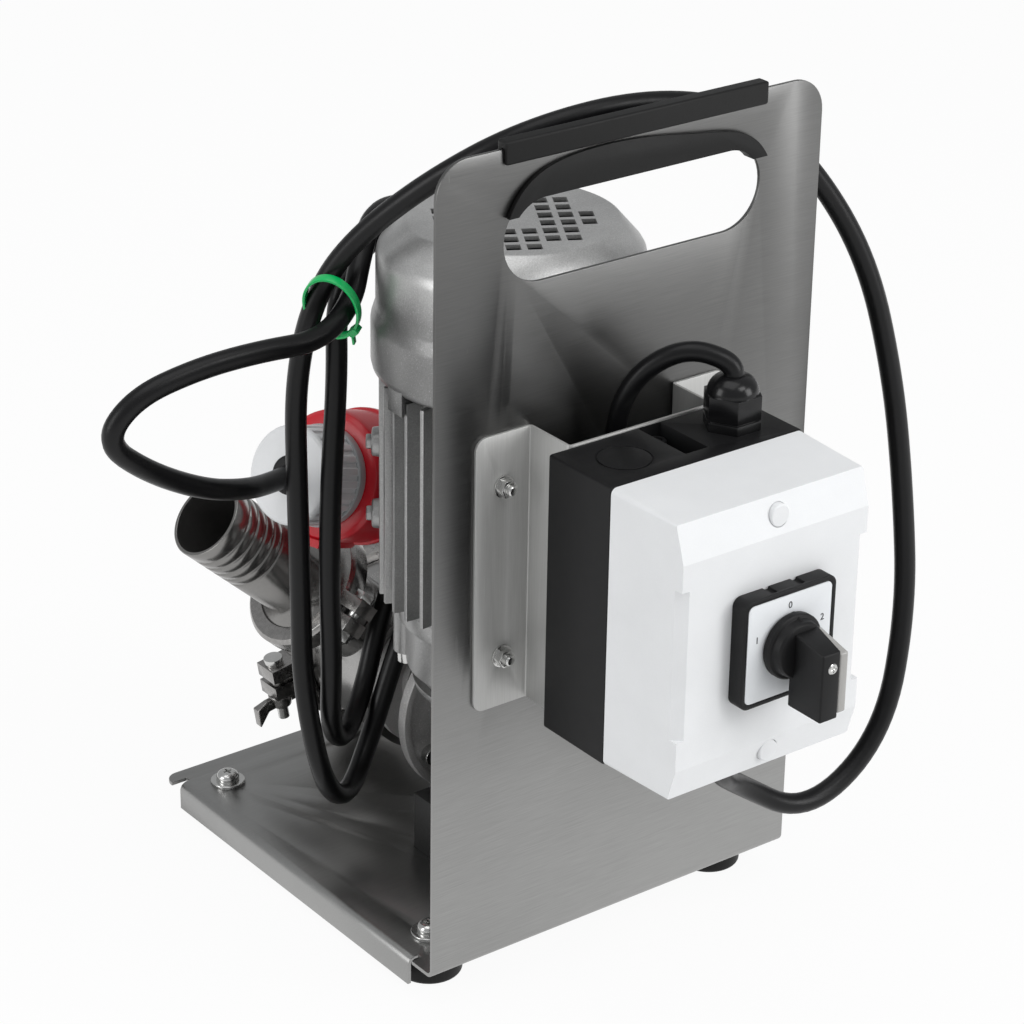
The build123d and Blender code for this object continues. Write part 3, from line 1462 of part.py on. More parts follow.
# Mains plug at the end of the cable: grip, grey ring, red shroud and pins
plug_back = from_plate([(-90, 150, 206)])[0]
plug_aim = Vector(0.85, 0.38, -0.36).normalized()
plug_side = Vector(0, 0, 1).cross(plug_aim).normalized()


def plug_plane(along):
    back = Vector(*plug_back)
    return Plane(origin=back + plug_aim * along, x_dir=plug_side, z_dir=plug_aim)


plug_section = Plane(origin=plug_back, x_dir=plug_side, z_dir=plug_side.cross(plug_aim))
plug_axis = Axis(plug_back, plug_aim)
with BuildPart() as plug_body:
    with BuildSketch(plug_section):
        with BuildLine():
            Polyline(
                (0, 0),
                (plug_r - 3.5, 0),
                (plug_r - 1.0, 1.2),
                (plug_r, 4.0),
                (plug_r, plug_body_l),
                (0, plug_body_l),
                close=True,
            )
        make_face()
    revolve(axis=plug_axis)
    with BuildSketch(plug_plane(0)):
        Circle(mains_r + 3.0)
        Circle(mains_r + 0.3, mode=Mode.SUBTRACT)
    extrude(amount=2.0, mode=Mode.SUBTRACT)
save(plug_body, "plug_body")

with BuildPart() as plug_ring:
    with BuildSketch(plug_plane(plug_body_l)):
        Circle(plug_r + 1.0)
    extrude(amount=plug_ring_l)
save(plug_ring, "plug_ring")

shroud_start = plug_body_l + plug_ring_l
with BuildPart() as plug_shroud:
    with BuildSketch(plug_section):
        with BuildLine():
            Polyline(
                (0, shroud_start),
                (shroud_r - 3.0, shroud_start),
                (shroud_r - 0.8, shroud_start + 1.0),
                (shroud_r, shroud_start + 3.0),
                (shroud_r, shroud_start + shroud_l),
                (shroud_r - 4.0, shroud_start + shroud_l),
                (shroud_r - 4.0, shroud_start + 5.0),
                (shroud_r - 7.0, shroud_start + 5.0),
                (shroud_r - 7.0, shroud_start + shroud_l - 6.0),
                (0, shroud_start + shroud_l - 6.0),
                close=True,
            )
        make_face()
    revolve(axis=plug_axis)
    with BuildSketch(plug_plane(shroud_start)):
        with Locations((0, -shroud_r - 1)):
            Rectangle(14.0, 6.0)
    extrude(amount=shroud_l)
    with BuildSketch(plug_plane(shroud_start + shroud_l)):
        with PolarLocations(plug_pin_out, 5):
            Circle(plug_pin_r + 0.3)
    extrude(amount=-20.0, mode=Mode.SUBTRACT)
save(plug_shroud, "plug_shroud")

with BuildPart() as plug_pins:
    with BuildSketch(plug_plane(shroud_start + shroud_l - 20)):
        with PolarLocations(plug_pin_out, 5):
            Circle(plug_pin_r)
    extrude(amount=18.0)
save(plug_pins, "plug_pins")

# Cable routes, from the box's lower gland round the stand to the hank and the plug
box_low_up = box_low - tip_z - base_z
box_top_up = box_top + tip_z - base_z
gland_in = gland_x - plate_x
gland_front = gland_y - plate_y
mains_route = from_plate([
    (gland_in, gland_front, box_low_up),
    (gland_in, gland_front, 78),
    (52, -51, 52),
    (100, -46, 50),
    (142, -38, 84),
    (160, -31, 140),
    (166, -24, 196),
    (160, -13, 252),
    (141, -2, 312),
    (113, 10, 364),
    (76, 15, 398),
    (24, 21, 414),
    (-26, 42, 404),
    (-54, 75, 370),
    (-77, 110, 337),
    (-88.5, 121.4, 305),
    (-97, 127, 262),
    (-101, 128, 206),
    (-103, 125, 150),
    (-104, 120, 100),
    (-103, 113, 44),
    (-73, 124, 20),
    (-42, 141, 40),
    (-27, 146, 84),
    (-6, 148, 136),
    (7, 151, 190),
    (8, 152, 244),
    (2, 152, 290),
    (-26, 148, 316),
    (-58, 133, 320),
    (-77.6, 124.9, 300),
    (-84, 124, 262),
    (-87, 117, 214),
    (-88, 114, 160),
    (-89, 114, 110),
    (-89, 118, 72),
    (-68, 137, 52),
    (-42, 156, 66),
    (-30, 161, 94),
    (-8, 166, 140),
    (14, 163, 190),
    (23, 155, 240),
    (16, 152, 292),
    (-8, 150, 326),
    (-46, 140, 335),
    (-70, 119, 320),
    (-79.4, 111.7, 300),
    (-98, 105, 285),
    (-126, 107, 287),
    (-158, 111, 291),
    (-188, 114, 288),
    (-206, 120, 266),
    (-200, 128, 236),
    (-174, 134, 220),
])
mains_route.append(tuple(Vector(*plug_back) - plug_aim * 42))
mains_route.append(plug_back)
lead_end = motor_y - term_w / 2 - term_gland_l - plate_y
lead_route = from_plate([
    (gland_in, gland_front, box_top_up),
    (gland_in, gland_front, 329),
    (0, -36, 332),
    (-14, -20, 300),
    (-17, -12, 262),
    (-8, -14, 230),
    (16, -14, 214),
    (16, 16, 214),
    (46, 17, 213),
    (term_gland_x - plate_x, lead_end - 17, term_z - base_z),
    (term_gland_x - plate_x, lead_end, term_z - base_z),
])
cords = {
    "mains_cable": (mains_route, mains_r),
    "motor_lead": (lead_route, lead_r),
}
for name, (route, cord_r) in cords.items():
    radii = corner_radii(route)
    print(name, "corner radii", [round(radius, 1) for radius in radii])
    with BuildPart() as cord:
        with BuildLine() as path:
            FilletPolyline(*route, radius=radii)
        with BuildSketch(Plane(origin=path.line @ 0, z_dir=path.line % 0)):
            Circle(cord_r)
        sweep()
    route_l = path.wire().length
    share = cord.part.volume / (math.pi * cord_r**2 * route_l)
    print(name, "length", round(route_l, 1), "volume share", round(share, 4))
    save(cord, name)
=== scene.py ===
import json
import math

import bpy
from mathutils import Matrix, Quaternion, Vector

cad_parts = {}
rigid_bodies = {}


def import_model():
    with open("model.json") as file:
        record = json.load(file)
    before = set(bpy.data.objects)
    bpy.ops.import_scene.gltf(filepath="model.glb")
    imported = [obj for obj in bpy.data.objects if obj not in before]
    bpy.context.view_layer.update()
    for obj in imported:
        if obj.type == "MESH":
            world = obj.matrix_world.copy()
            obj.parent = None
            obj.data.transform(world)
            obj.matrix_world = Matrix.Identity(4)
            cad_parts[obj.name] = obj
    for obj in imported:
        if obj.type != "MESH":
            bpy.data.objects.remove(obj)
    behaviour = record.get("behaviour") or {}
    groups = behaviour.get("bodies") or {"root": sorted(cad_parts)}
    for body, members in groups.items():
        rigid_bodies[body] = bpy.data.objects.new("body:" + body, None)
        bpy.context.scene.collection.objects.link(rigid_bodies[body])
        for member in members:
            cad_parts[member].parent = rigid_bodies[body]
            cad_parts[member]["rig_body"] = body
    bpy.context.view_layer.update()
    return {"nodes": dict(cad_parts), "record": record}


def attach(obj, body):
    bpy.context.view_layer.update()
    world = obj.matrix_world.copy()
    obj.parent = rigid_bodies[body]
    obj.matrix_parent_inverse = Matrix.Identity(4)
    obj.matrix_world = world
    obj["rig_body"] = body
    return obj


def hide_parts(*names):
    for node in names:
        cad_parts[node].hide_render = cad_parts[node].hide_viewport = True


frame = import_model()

slotOf = {row["node"]: row["material_slot"] for row in frame["record"]["subparts"]}
bodyOf = {name: node["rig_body"] for name, node in frame["nodes"].items()}
print("frame loaded,", len(bodyOf), "nodes")

camera = {
    "place": (-0.914355, -1.133362, 0.903898),
    "turn": (64.66605, -0.83047, -37.01345),  # degrees
    "lens": 118.127,
    "sensor": 36.0,
    "clip": (0.05, 30.0),
}
studio = {
    "world": (0.86, 0.87, 0.88),
    "worldLevel": 0.5,
    "floorSize": 14.0,
    "floorColour": (0.82, 0.82, 0.82),
    "floorWhite": 0.94,  # share of plain white that the camera sees over the shadow
    "lamps": [  # name, place, aim, size, watts
        ("skySoft", (-0.5, -0.2, 2.4), (0.0, 0.0, 0.2), (1.8, 1.8), 14.0),
        ("frontSoft", (1.3, -2.0, 1.0), (0.0, 0.0, 0.2), (1.0, 1.4), 23.0),
        ("frontHigh", (0.4, -1.7, 2.1), (0.0, 0.0, 0.3), (1.1, 0.8), 13.0),
        ("leftSoft", (-2.2, 0.4, 0.9), (0.0, 0.1, 0.2), (0.9, 1.4), 15.0),
    ],
}


class Wire:
    # a node's output that takes part in sums with other wires and with plain numbers
    def __init__(self, tree, socket):
        self.tree = tree
        self.socket = socket

    def node(self, kind, inputs, out=0, **settings):
        made = self.tree.nodes.new(kind)
        for key, value in settings.items():
            setattr(made, key, value)
        for key, value in inputs.items():
            if isinstance(value, Wire):
                self.tree.links.new(value.socket, made.inputs[key])
            else:
                made.inputs[key].default_value = value
        return Wire(self.tree, made.outputs[out])

    def maths(self, operation, *values):
        return self.node("ShaderNodeMath", dict(enumerate(values)), operation=operation)

    def __add__(self, other):
        return self.maths("ADD", self, other)

    def __radd__(self, other):
        return self.maths("ADD", other, self)

    def __sub__(self, other):
        return self.maths("SUBTRACT", self, other)

    def __mul__(self, other):
        return self.maths("MULTIPLY", self, other)

    def spread(self, low, high, start=0.0, end=1.0):
        # low becomes start and high becomes end, with a straight run between them
        return self.node(
            "ShaderNodeMapRange",
            {"Value": self, "From Min": low, "From Max": high, "To Min": start, "To Max": end},
        )

    def noise(self, scale, detail=3.0, stretch=(1, 1, 1), rough=0.5):
        spot = self.node("ShaderNodeMapping", {"Vector": self, "Scale": stretch})
        return spot.node(
            "ShaderNodeTexNoise",
            {"Vector": spot, "Scale": scale, "Detail": detail, "Roughness": rough},
            out="Fac",
        )

    def height(self, low, high):
        # 0 below low and 1 above high, in metres over the floor
        return self.node("ShaderNodeSeparateXYZ", {"Vector": self}, out="Z").spread(low, high)

    def tint(self, first, second):
        # first colour where this wire is 0, second where it is 1
        pair = [c if isinstance(c, Wire) else (*c, 1.0) for c in (first, second)]
        return self.node(
            "ShaderNodeMix", {0: self, 6: pair[0], 7: pair[1]}, out=2, data_type="RGBA"
        )

    def bump(self, distance, strength):
        inputs = {"Height": self, "Distance": distance, "Strength": strength}
        return self.node("ShaderNodeBump", inputs)


def newFinish(name, **fixed):
    # a Principled material with its plain values set; gives it, its place wire and a setter
    material = bpy.data.materials.new(name)
    material.use_nodes = True
    tree = material.node_tree
    shader = tree.nodes["Principled BSDF"]
    for key, value in fixed.items():
        shader.inputs[key.replace("_", " ")].default_value = value

    def drive(**wires):
        for key, wire in wires.items():
            tree.links.new(wire.socket, shader.inputs[key.replace("_", " ")])

    spot = tree.nodes.new("ShaderNodeTexCoord")
    return material, Wire(tree, spot.outputs["Object"]), drive


def shade(colour, factor):
    return tuple(min(1.0, c * factor) for c in colour)


standPaintedLightAndNicks = {  # painted reflection on the tall sheet and its nicks: lighter towards the foot and darker towards the top, a painted dark reflection of the switch box, and lighter nicks; in metres and in shares of its colour
    "reflectionRise": (0.06, 0.30),
    "footReflectionShades": (1.35, 1.85),
    "topReflectionShades": (0.72, 1.0),
    # painted dark reflection of the switch box: its centre, reach and shades
    "boxReflection": (-0.075, 0.0, 0.295),
    "boxReflectionReach": (0.03, 0.19),
    "boxReflectionShades": (0.62, 1.0),
    "nickGrain": (160, 22, 22),
    "nickShare": 0.35,
    "nickShade": 1.4,
}


def brushedSheet(name, colour, roughness, grain, metallic=1.0, paintedLightAndNicks=None, patch=7.0):
    # sheet with brushed lines along its grain and, when given the table, painted reflection
    # (lighter at the foot, darker at the top, dark where the switch box reflects) and lighter nicks
    material, spot, drive = newFinish(name, Metallic=metallic)
    streak = spot.noise(1.0, 4.0, grain, 0.62)
    fine = spot.noise(1.0, 2.0, tuple(2.3 * g for g in grain))
    cloud = spot.noise(patch, 4.0)
    smudge = spot.noise(31.0, 5.0, rough=0.66)
    lines = streak.spread(0.3, 0.7) * 0.45 + fine.spread(0.3, 0.7) * 0.2
    mottle = lines + cloud.spread(0.35, 0.65) * 0.35
    if paintedLightAndNicks:
        # painted reflection: the sheet lighter towards its foot and darker towards its top
        reflectionRise = spot.height(*paintedLightAndNicks["reflectionRise"])
        away = {"Vector": spot, "Location": tuple(-part for part in paintedLightAndNicks["boxReflection"])}
        boxReflection = spot.node("ShaderNodeMapping", away)
        near = boxReflection.node("ShaderNodeVectorMath", {0: boxReflection}, out="Value", operation="LENGTH")
        shades = zip(paintedLightAndNicks["footReflectionShades"], paintedLightAndNicks["topReflectionShades"])
        dark, light = [reflectionRise.tint(shade(colour, foot), shade(colour, top)) for foot, top in shades]
        surface = mottle.tint(dark, light)
        # painted dark reflection of the switch box, part way to black near its centre
        surface = near.spread(*paintedLightAndNicks["boxReflectionReach"], *paintedLightAndNicks["boxReflectionShades"]).tint((0, 0, 0), surface)
        nick = spot.noise(1.0, 3.0, paintedLightAndNicks["nickGrain"], 0.7).spread(0.70, 0.74)
        surface = (nick * paintedLightAndNicks["nickShare"]).tint(surface, shade(colour, paintedLightAndNicks["nickShade"]))
    else:
        surface = mottle.tint(shade(colour, 0.86), shade(colour, 1.12))
    rough = roughness + (streak - 0.5) * 0.16 + (smudge - 0.5) * 0.16 + (cloud - 0.5) * 0.1
    relief = streak * 0.7 + fine * 0.3
    drive(Base_Color=surface, Roughness=rough, Normal=relief.bump(0.00006, 0.35))
    return material


def speckledPaint(name, colour, roughness, metallic, paintedTopLight=None, grit=1500, patch=14.0):
    # hammered silver paint; the optional painted light gives two heights and the shades below the
    # one and above the other, darker below and lighter above
    material, spot, drive = newFinish(
        name, Metallic=metallic, Coat_Weight=0.12, Coat_Roughness=0.3)
    speck = spot.noise(grit, 2.0, rough=0.6)
    orange = spot.noise(420, 3.0)
    cloud = spot.noise(patch, 4.0, rough=0.6)
    grime = spot.noise(70, 5.0, rough=0.7)
    mottle = speck.spread(0.32, 0.68) * 0.5 + cloud.spread(0.3, 0.7) * 0.3
    mottle = mottle + grime.spread(0.35, 0.7) * 0.2

    def mottled(factor):
        return mottle.tint(shade(colour, 0.72 * factor), shade(colour, 1.2 * factor))

    # painted light: darker below the lower height, lighter above the upper one
    if paintedTopLight:
        low, high, dark, light = paintedTopLight
        surface = spot.height(low, high).tint(mottled(dark), mottled(light))
    else:
        surface = mottled(1.0)
    glint = speck.spread(0.66, 0.72)
    surface = (glint * 0.6).tint(surface, (0.92, 0.92, 0.92))
    rough = roughness + (grime - 0.5) * 0.2 - glint * 0.15
    relief = (speck * 0.4 + orange * 0.6).bump(0.00009, 0.5)
    drive(Base_Color=surface, Roughness=rough, Normal=relief)
    return material


def castMetal(name, colour, roughness, grit=700, depth=0.00016):
    material, spot, drive = newFinish(name, Metallic=1.0)
    grainy = spot.noise(grit, 4.0, rough=0.65)
    cloud = spot.noise(24, 4.0, rough=0.6)
    pit = spot.noise(260, 3.0).spread(0.66, 0.75)
    mottle = grainy.spread(0.3, 0.7) * 0.55 + cloud.spread(0.3, 0.7) * 0.45
    surface = mottle.tint(shade(colour, 0.72), shade(colour, 1.18))
    surface = (pit * 0.5).tint(surface, shade(colour, 0.5))
    rough = roughness + (cloud - 0.5) * 0.25 + (grainy - 0.5) * 0.15
    relief = (grainy - pit * 0.5).bump(depth, 0.6)
    drive(Base_Color=surface, Roughness=rough, Normal=relief)
    return material


def polishedMetal(name, colour, roughness, grain=(900, 900, 900), wear=0.12, metallic=1.0):
    material, spot, drive = newFinish(name, Metallic=metallic)
    line = spot.noise(1.0, 3.0, grain, 0.6)
    cloud = spot.noise(38, 4.0, rough=0.6)
    mottle = line.spread(0.3, 0.7) * 0.4 + cloud.spread(0.3, 0.7) * 0.6
    surface = mottle.tint(shade(colour, 0.88), shade(colour, 1.1))
    rough = roughness + (line - 0.5) * wear + (cloud - 0.5) * wear
    drive(Base_Color=surface, Roughness=rough, Normal=line.bump(0.00003, 0.3))
    return material


def mouldedPlastic(name, colour, roughness, grit, depth, wear, coat=0.0, gleam=0.5, **fixed):
    # plastic or rubber with a fine grain; gleam is its specular level
    material, spot, drive = newFinish(
        name, Coat_Weight=coat, Coat_Roughness=0.12, Specular_IOR_Level=gleam, **fixed)
    grain = spot.noise(grit, 2.0)
    cloud = spot.noise(20, 4.0, rough=0.6)
    handling = spot.noise(150, 4.0, rough=0.7)
    mottle = cloud.spread(0.3, 0.7) * 0.7 + grain.spread(0.3, 0.7) * 0.3
    surface = mottle.tint(shade(colour, 0.95), shade(colour, 1.04))
    rough = roughness + (handling - 0.5) * wear + (cloud - 0.5) * wear
    drive(Base_Color=surface, Roughness=rough, Normal=grain.bump(depth, 0.5))
    return material


finishes = {
    "stainless_sheet": brushedSheet(
        "brushedSheet", (0.21, 0.21, 0.207), 0.34, (40, 1700, 1700), paintedLightAndNicks=standPaintedLightAndNicks),
    "black_rubber": mouldedPlastic(
        "edgeRubber", (0.006, 0.006, 0.006), 0.52, 900, 0.00006, 0.14, gleam=0.25),
    "zinc_steel": polishedMetal("zincSteel", (0.62, 0.62, 0.61), 0.22, (300, 300, 300), 0.16),
    "black_plastic": mouldedPlastic(
        "boxBlack", (0.006, 0.006, 0.0065), 0.48, 1900, 0.00005, 0.1, gleam=0.25),
    "white_plastic": mouldedPlastic("coverWhite", (0.80, 0.81, 0.82), 0.42, 2200, 0.00002, 0.08),
    "dial_print": mouldedPlastic("dialSilver", (0.76, 0.78, 0.80), 0.36, 3000, 0.00001, 0.06),
    "grey_plastic": mouldedPlastic("plugGrey", (0.42, 0.43, 0.44), 0.34, 2200, 0.00002, 0.1),
    "clear_grey_plastic": mouldedPlastic(
        "lockGrey", (0.56, 0.55, 0.53), 0.25, 2600, 0.00002, 0.08,
        Transmission_Weight=0.35, IOR=1.5),
    "silver_paint": speckledPaint("silverPaint", (0.36, 0.36, 0.357), 0.38, 0.7),
    "cast_aluminium": castMetal("castAluminium", (0.44, 0.44, 0.435), 0.44),
    "black_paint": mouldedPlastic("riserPaint", (0.012, 0.012, 0.012), 0.5, 700, 0.00012, 0.16),
    "polished_stainless": polishedMetal("turnedStainless", (0.36, 0.355, 0.35), 0.24),
    "cast_stainless": castMetal("tumbledStainless", (0.34, 0.332, 0.325), 0.26, 420, 0.0001),
    "steel": polishedMetal("machinedSteel", (0.55, 0.55, 0.55), 0.26, (500, 500, 500), 0.14),
    "bronze": polishedMetal("wheelBronze", (0.62, 0.43, 0.2), 0.3, (500, 500, 500), 0.14),
    "copper_winding": polishedMetal("winding", (0.55, 0.27, 0.14), 0.4, (300, 300, 1400), 0.2),
    "white_rubber": mouldedPlastic("gasketWhite", (0.74, 0.74, 0.71), 0.55, 900, 0.00004, 0.1),
    "red_plastic": mouldedPlastic(
        "shroudRed", (0.60, 0.008, 0.02), 0.34, 2600, 0.00002, 0.12, 0.08),
    "green_plastic": mouldedPlastic("tieGreen", (0.0, 0.50, 0.12), 0.3, 2600, 0.00002, 0.1, 0.2),
    "black_cable": mouldedPlastic(
        "cableBlack", (0.004, 0.004, 0.0045), 0.36, 260, 0.00008, 0.2, gleam=0.27),
}
ownFinishes = {  # for pieces that look different from the rest of their slot
    "outputFlange": speckledPaint("discSteel", (0.42, 0.415, 0.41), 0.4, 0.15),
    "hoseBarb": polishedMetal(
        "barbSteel", (0.24, 0.235, 0.228), 0.22, (700, 700, 700), 0.07, 0.86),
    "cableGlands": mouldedPlastic(
        "glandBlack", (0.006, 0.006, 0.0065), 0.23, 1900, 0.00001, 0.05, gleam=0.32),
    # painted light: the fan cover's top is painted lighter and its lower part darker
    "fanCover": speckledPaint(
        "fanPaint", (0.30, 0.30, 0.297), 0.38, 0.7, paintedTopLight=(0.325, 0.352, 0.76, 1.8)),
    "hatBracket": brushedSheet("bracketSheet", (0.5, 0.5, 0.49), 0.5, (1700, 1700, 40), 0.55),
}
ownFinishes["pumpLantern"] = ownFinishes["outputFlange"]
print("finishes made,", len(finishes) + len(ownFinishes) - 1)


def makeFloor():
    # white to the camera and in mirrors, plain paper with shadows to everything else
    bpy.ops.mesh.primitive_plane_add(size=studio["floorSize"], location=(0, 0, 0))
    floor = bpy.context.object
    floor.name = "floor"
    material = bpy.data.materials.new("floorPaper")
    material.use_nodes = True
    tree = material.node_tree
    tree.nodes.clear()
    base = Wire(tree, None)
    plain = base.node("ShaderNodeBsdfDiffuse", {"Color": (*studio["floorColour"], 1.0)})
    white = base.node("ShaderNodeEmission", {"Color": (1, 1, 1, 1), "Strength": 1.0})
    path = tree.nodes.new("ShaderNodeLightPath")
    rays = [path.outputs[f"Is {kind} Ray"] for kind in ("Camera", "Glossy", "Transmission")]
    straight, mirrored, through = [Wire(tree, ray) for ray in rays]
    seen = straight + mirrored + through
    seen = seen.maths("MINIMUM", seen, 1.0)
    mixed = base.node("ShaderNodeMixShader", {0: seen * studio["floorWhite"], 1: plain, 2: white})
    end = tree.nodes.new("ShaderNodeOutputMaterial")
    tree.links.new(mixed.socket, end.inputs["Surface"])
    floor.data.materials.append(material)


def makeStudio():
    world = bpy.data.worlds.new("studioWorld")
    bpy.context.scene.world = world
    world.use_nodes = True
    back = world.node_tree.nodes["Background"]
    back.inputs["Color"].default_value = (*studio["world"], 1.0)
    back.inputs["Strength"].default_value = studio["worldLevel"]
    for name, place, aim, size, watts in studio["lamps"]:
        lamp = bpy.data.lights.new(name, "AREA")
        lamp.shape = "RECTANGLE"
        lamp.size, lamp.size_y = size
        lamp.energy = watts
        holder = bpy.data.objects.new(name, lamp)
        bpy.context.scene.collection.objects.link(holder)
        holder.location = place
        holder.rotation_euler = (Vector(aim) - Vector(place)).to_track_quat("-Z", "Y").to_euler()
    lens = bpy.data.cameras.new("camera")
    lens.lens = camera["lens"]
    lens.sensor_width = camera["sensor"]
    lens.clip_start, lens.clip_end = camera["clip"]
    holder = bpy.data.objects.new("camera", lens)
    bpy.context.scene.collection.objects.link(holder)
    holder.location = camera["place"]
    holder.rotation_euler = [math.radians(a) for a in camera["turn"]]
    bpy.context.scene.camera = holder
    bpy.context.scene.view_settings.view_transform = "Standard"


makeFloor()
makeStudio()
print("studio ready")

# the cords' points are in metres, from the gland at the box to the far end
mains = {
    "radius": 0.00525,
    "length": 2.4216,
    "points": [
        (0.005, -0.0929, 0.1315), (0.005, -0.0929, 0.114), (0.0355, -0.0731, 0.0886),
        (0.0761, -0.0817, 0.0607), (0.1241, -0.0825, 0.0905), (0.1433, -0.073, 0.1518),
        (0.146, -0.0621, 0.2115), (0.1423, -0.0535, 0.2698), (0.1305, -0.0426, 0.3305),
        (0.1012, -0.0306, 0.3807), (0.0633, -0.0256, 0.4132), (0.0087, -0.0196, 0.4265),
        (-0.0433, 0.0014, 0.4156), (-0.0736, 0.0344, 0.3871), (-0.0935, 0.069, 0.3505),
        (-0.1045, 0.0825, 0.319), (-0.1107, 0.088, 0.2774), (-0.1116, 0.0856, 0.2239),
        (-0.112, 0.0833, 0.1695), (-0.1136, 0.0805, 0.1218), (-0.1082, 0.0714, 0.0669),
        (-0.0832, 0.0865, 0.044), (-0.0566, 0.105, 0.062), (-0.0402, 0.1066, 0.1025),
        (-0.018, 0.1074, 0.154), (-0.005, 0.1104, 0.208), (-0.004, 0.1114, 0.262),
        (-0.01, 0.1114, 0.308), (-0.038, 0.1074, 0.334), (-0.07, 0.0924, 0.338),
        (-0.0894, 0.0841, 0.318), (-0.0917, 0.0802, 0.2795), (-0.0985, 0.0761, 0.2319),
        (-0.1009, 0.075, 0.1794), (-0.1001, 0.0745, 0.1305), (-0.0993, 0.0781, 0.0928),
        (-0.0782, 0.0965, 0.072), (-0.0531, 0.1154, 0.0849), (-0.042, 0.1204, 0.112),
        (-0.02, 0.1254, 0.158), (0.002, 0.1224, 0.208), (0.011, 0.1144, 0.258),
        (0.004, 0.1114, 0.31), (-0.02, 0.1094, 0.344), (-0.057, 0.0994, 0.3525),
        (-0.079, 0.079, 0.3375), (-0.0905, 0.069, 0.3215), (-0.114, 0.0605, 0.3105),
        (-0.1455, 0.0641, 0.3116), (-0.176, 0.0697, 0.3082), (-0.2065, 0.074, 0.2999),
        (-0.2204, 0.0785, 0.2799), (-0.1972, 0.0807, 0.2587), (-0.1656, 0.086, 0.2395),
        (-0.1386, 0.094, 0.2285), (-0.1163, 0.104, 0.2217), (-0.1006, 0.1094, 0.2206),
    ],
}
lead = {
    "radius": 0.00475,
    "length": 0.2698,
    "points": [
        (0.005, -0.0929, 0.3185), (0.005, -0.0929, 0.3245), (-0.0123, -0.0767, 0.3305),
        (-0.0297, -0.0604, 0.312), (-0.0317, -0.0526, 0.2786), (-0.027, -0.0546, 0.24),
        (-0.009, -0.0546, 0.217), (0.004, -0.0546, 0.228), (0.004, -0.0246, 0.234),
        (0.022, -0.0186, 0.214), (0.044, -0.0246, 0.223), (0.054, -0.0146, 0.228),
        (0.054, 0.0024, 0.227),
    ],
}


def makeCord(name, cord, finish, node):
    curve = bpy.data.curves.new(name, "CURVE")
    curve.dimensions = "3D"
    curve.bevel_depth = cord["radius"]
    curve.bevel_resolution = 5
    curve.resolution_u = 10
    curve.use_fill_caps = True
    line = curve.splines.new("NURBS")
    line.points.add(len(cord["points"]) - 1)
    for point, place in zip(line.points, cord["points"]):
        point.co = (*place, 1.0)
    line.order_u = 3
    line.use_endpoint_u = True
    piece = bpy.data.objects.new(name, curve)
    bpy.context.scene.collection.objects.link(piece)
    curve.materials.append(finish)
    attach(piece, bodyOf[node])
    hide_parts(node)
    return piece


mainsPiece = makeCord("mainsCord", mains, finishes["black_cable"], "mains_cable")
leadPiece = makeCord("switchLead", lead, finishes["black_cable"], "motor_lead")
print("cords laid")


def mm(*values):
    # from the dictionaries' millimetres to metres
    return tuple(0.001 * value for value in values)


def onlySelect(*pieces):
    if bpy.context.object and bpy.context.object.mode != "OBJECT":
        bpy.ops.object.mode_set(mode="OBJECT")
    bpy.ops.object.select_all(action="DESELECT")
    for piece in pieces:
        piece.select_set(True)
    bpy.context.view_layer.objects.active = pieces[0] if pieces else None


def useModifier(piece, kind, **settings):
    onlySelect(piece)
    added = piece.modifiers.new(kind.title(), kind)
    for key, value in settings.items():
        setattr(added, key, value)
    bpy.ops.object.modifier_apply(modifier=added.name)


def roundBox(piece, radius, segments=3):
    # rounds all edges of a plain box, before it gets its other shapes
    useModifier(
        piece, "BEVEL", width=0.001 * radius, segments=segments, limit_method="ANGLE")


def roundEdges(piece, radius, segments=2, angle=30.0, smooth=35.0):
    # rounds the edges sharper than angle and shades smooth over the ones flatter than smooth
    useModifier(
        piece, "BEVEL", width=radius * 0.001, segments=segments, limit_method="ANGLE",
        angle_limit=math.radians(angle), harden_normals=False, miter_outer="MITER_ARC",
    )
    onlySelect(piece)
    bpy.ops.object.shade_smooth_by_angle(angle=math.radians(smooth))


def hangOn(piece, node, finish=None):
    # gives a finished piece its material, from its node's slot unless a finish is given, puts it in
    # its node's body and hides the node that it stands for
    piece.data.materials.clear()
    piece.data.materials.append(finish or finishes[slotOf[node]])
    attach(piece, bodyOf[node])
    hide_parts(node)


def hangBeside(piece, node):
    # a black piece that rides with a node and replaces none
    piece.data.materials.clear()
    piece.data.materials.append(finishes["black_plastic"])
    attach(piece, bodyOf[node])


def turned(name, steps, place=(0, 0, 0), aim=(0, 0, 1), sides=64):
    # a disc extruded and resized ring by ring: steps of height and radius, along aim from place
    onlySelect()
    height, radius = steps[0]
    bpy.ops.mesh.primitive_circle_add(
        vertices=sides, radius=0.001 * radius, fill_type="NGON", location=mm(0, 0, height))
    piece = bpy.context.object
    piece.name = name
    bpy.ops.object.transform_apply(location=True)
    bpy.ops.object.mode_set(mode="EDIT")
    bpy.ops.mesh.select_all(action="SELECT")
    for nextHeight, nextRadius in steps[1:]:
        bpy.ops.mesh.extrude_region_move(
            TRANSFORM_OT_translate={"value": mm(0, 0, nextHeight - height)})
        share = nextRadius / radius
        bpy.ops.transform.resize(value=(share, share, 1), center_override=(0, 0, 0))
        height, radius = nextHeight, nextRadius
    bpy.ops.mesh.select_all(action="SELECT")
    bpy.ops.mesh.normals_make_consistent(inside=False)
    bpy.ops.object.mode_set(mode="OBJECT")
    putAt(piece, place, Vector(aim).to_track_quat("Z", "Y").to_euler())
    return piece


def putAt(piece, place, turn):
    # turns a piece about its origin by Euler angles, moves it to place and applies both
    onlySelect(piece)
    piece.rotation_euler = turn
    piece.location = mm(*place)
    bpy.ops.object.transform_apply(location=True, rotation=True)


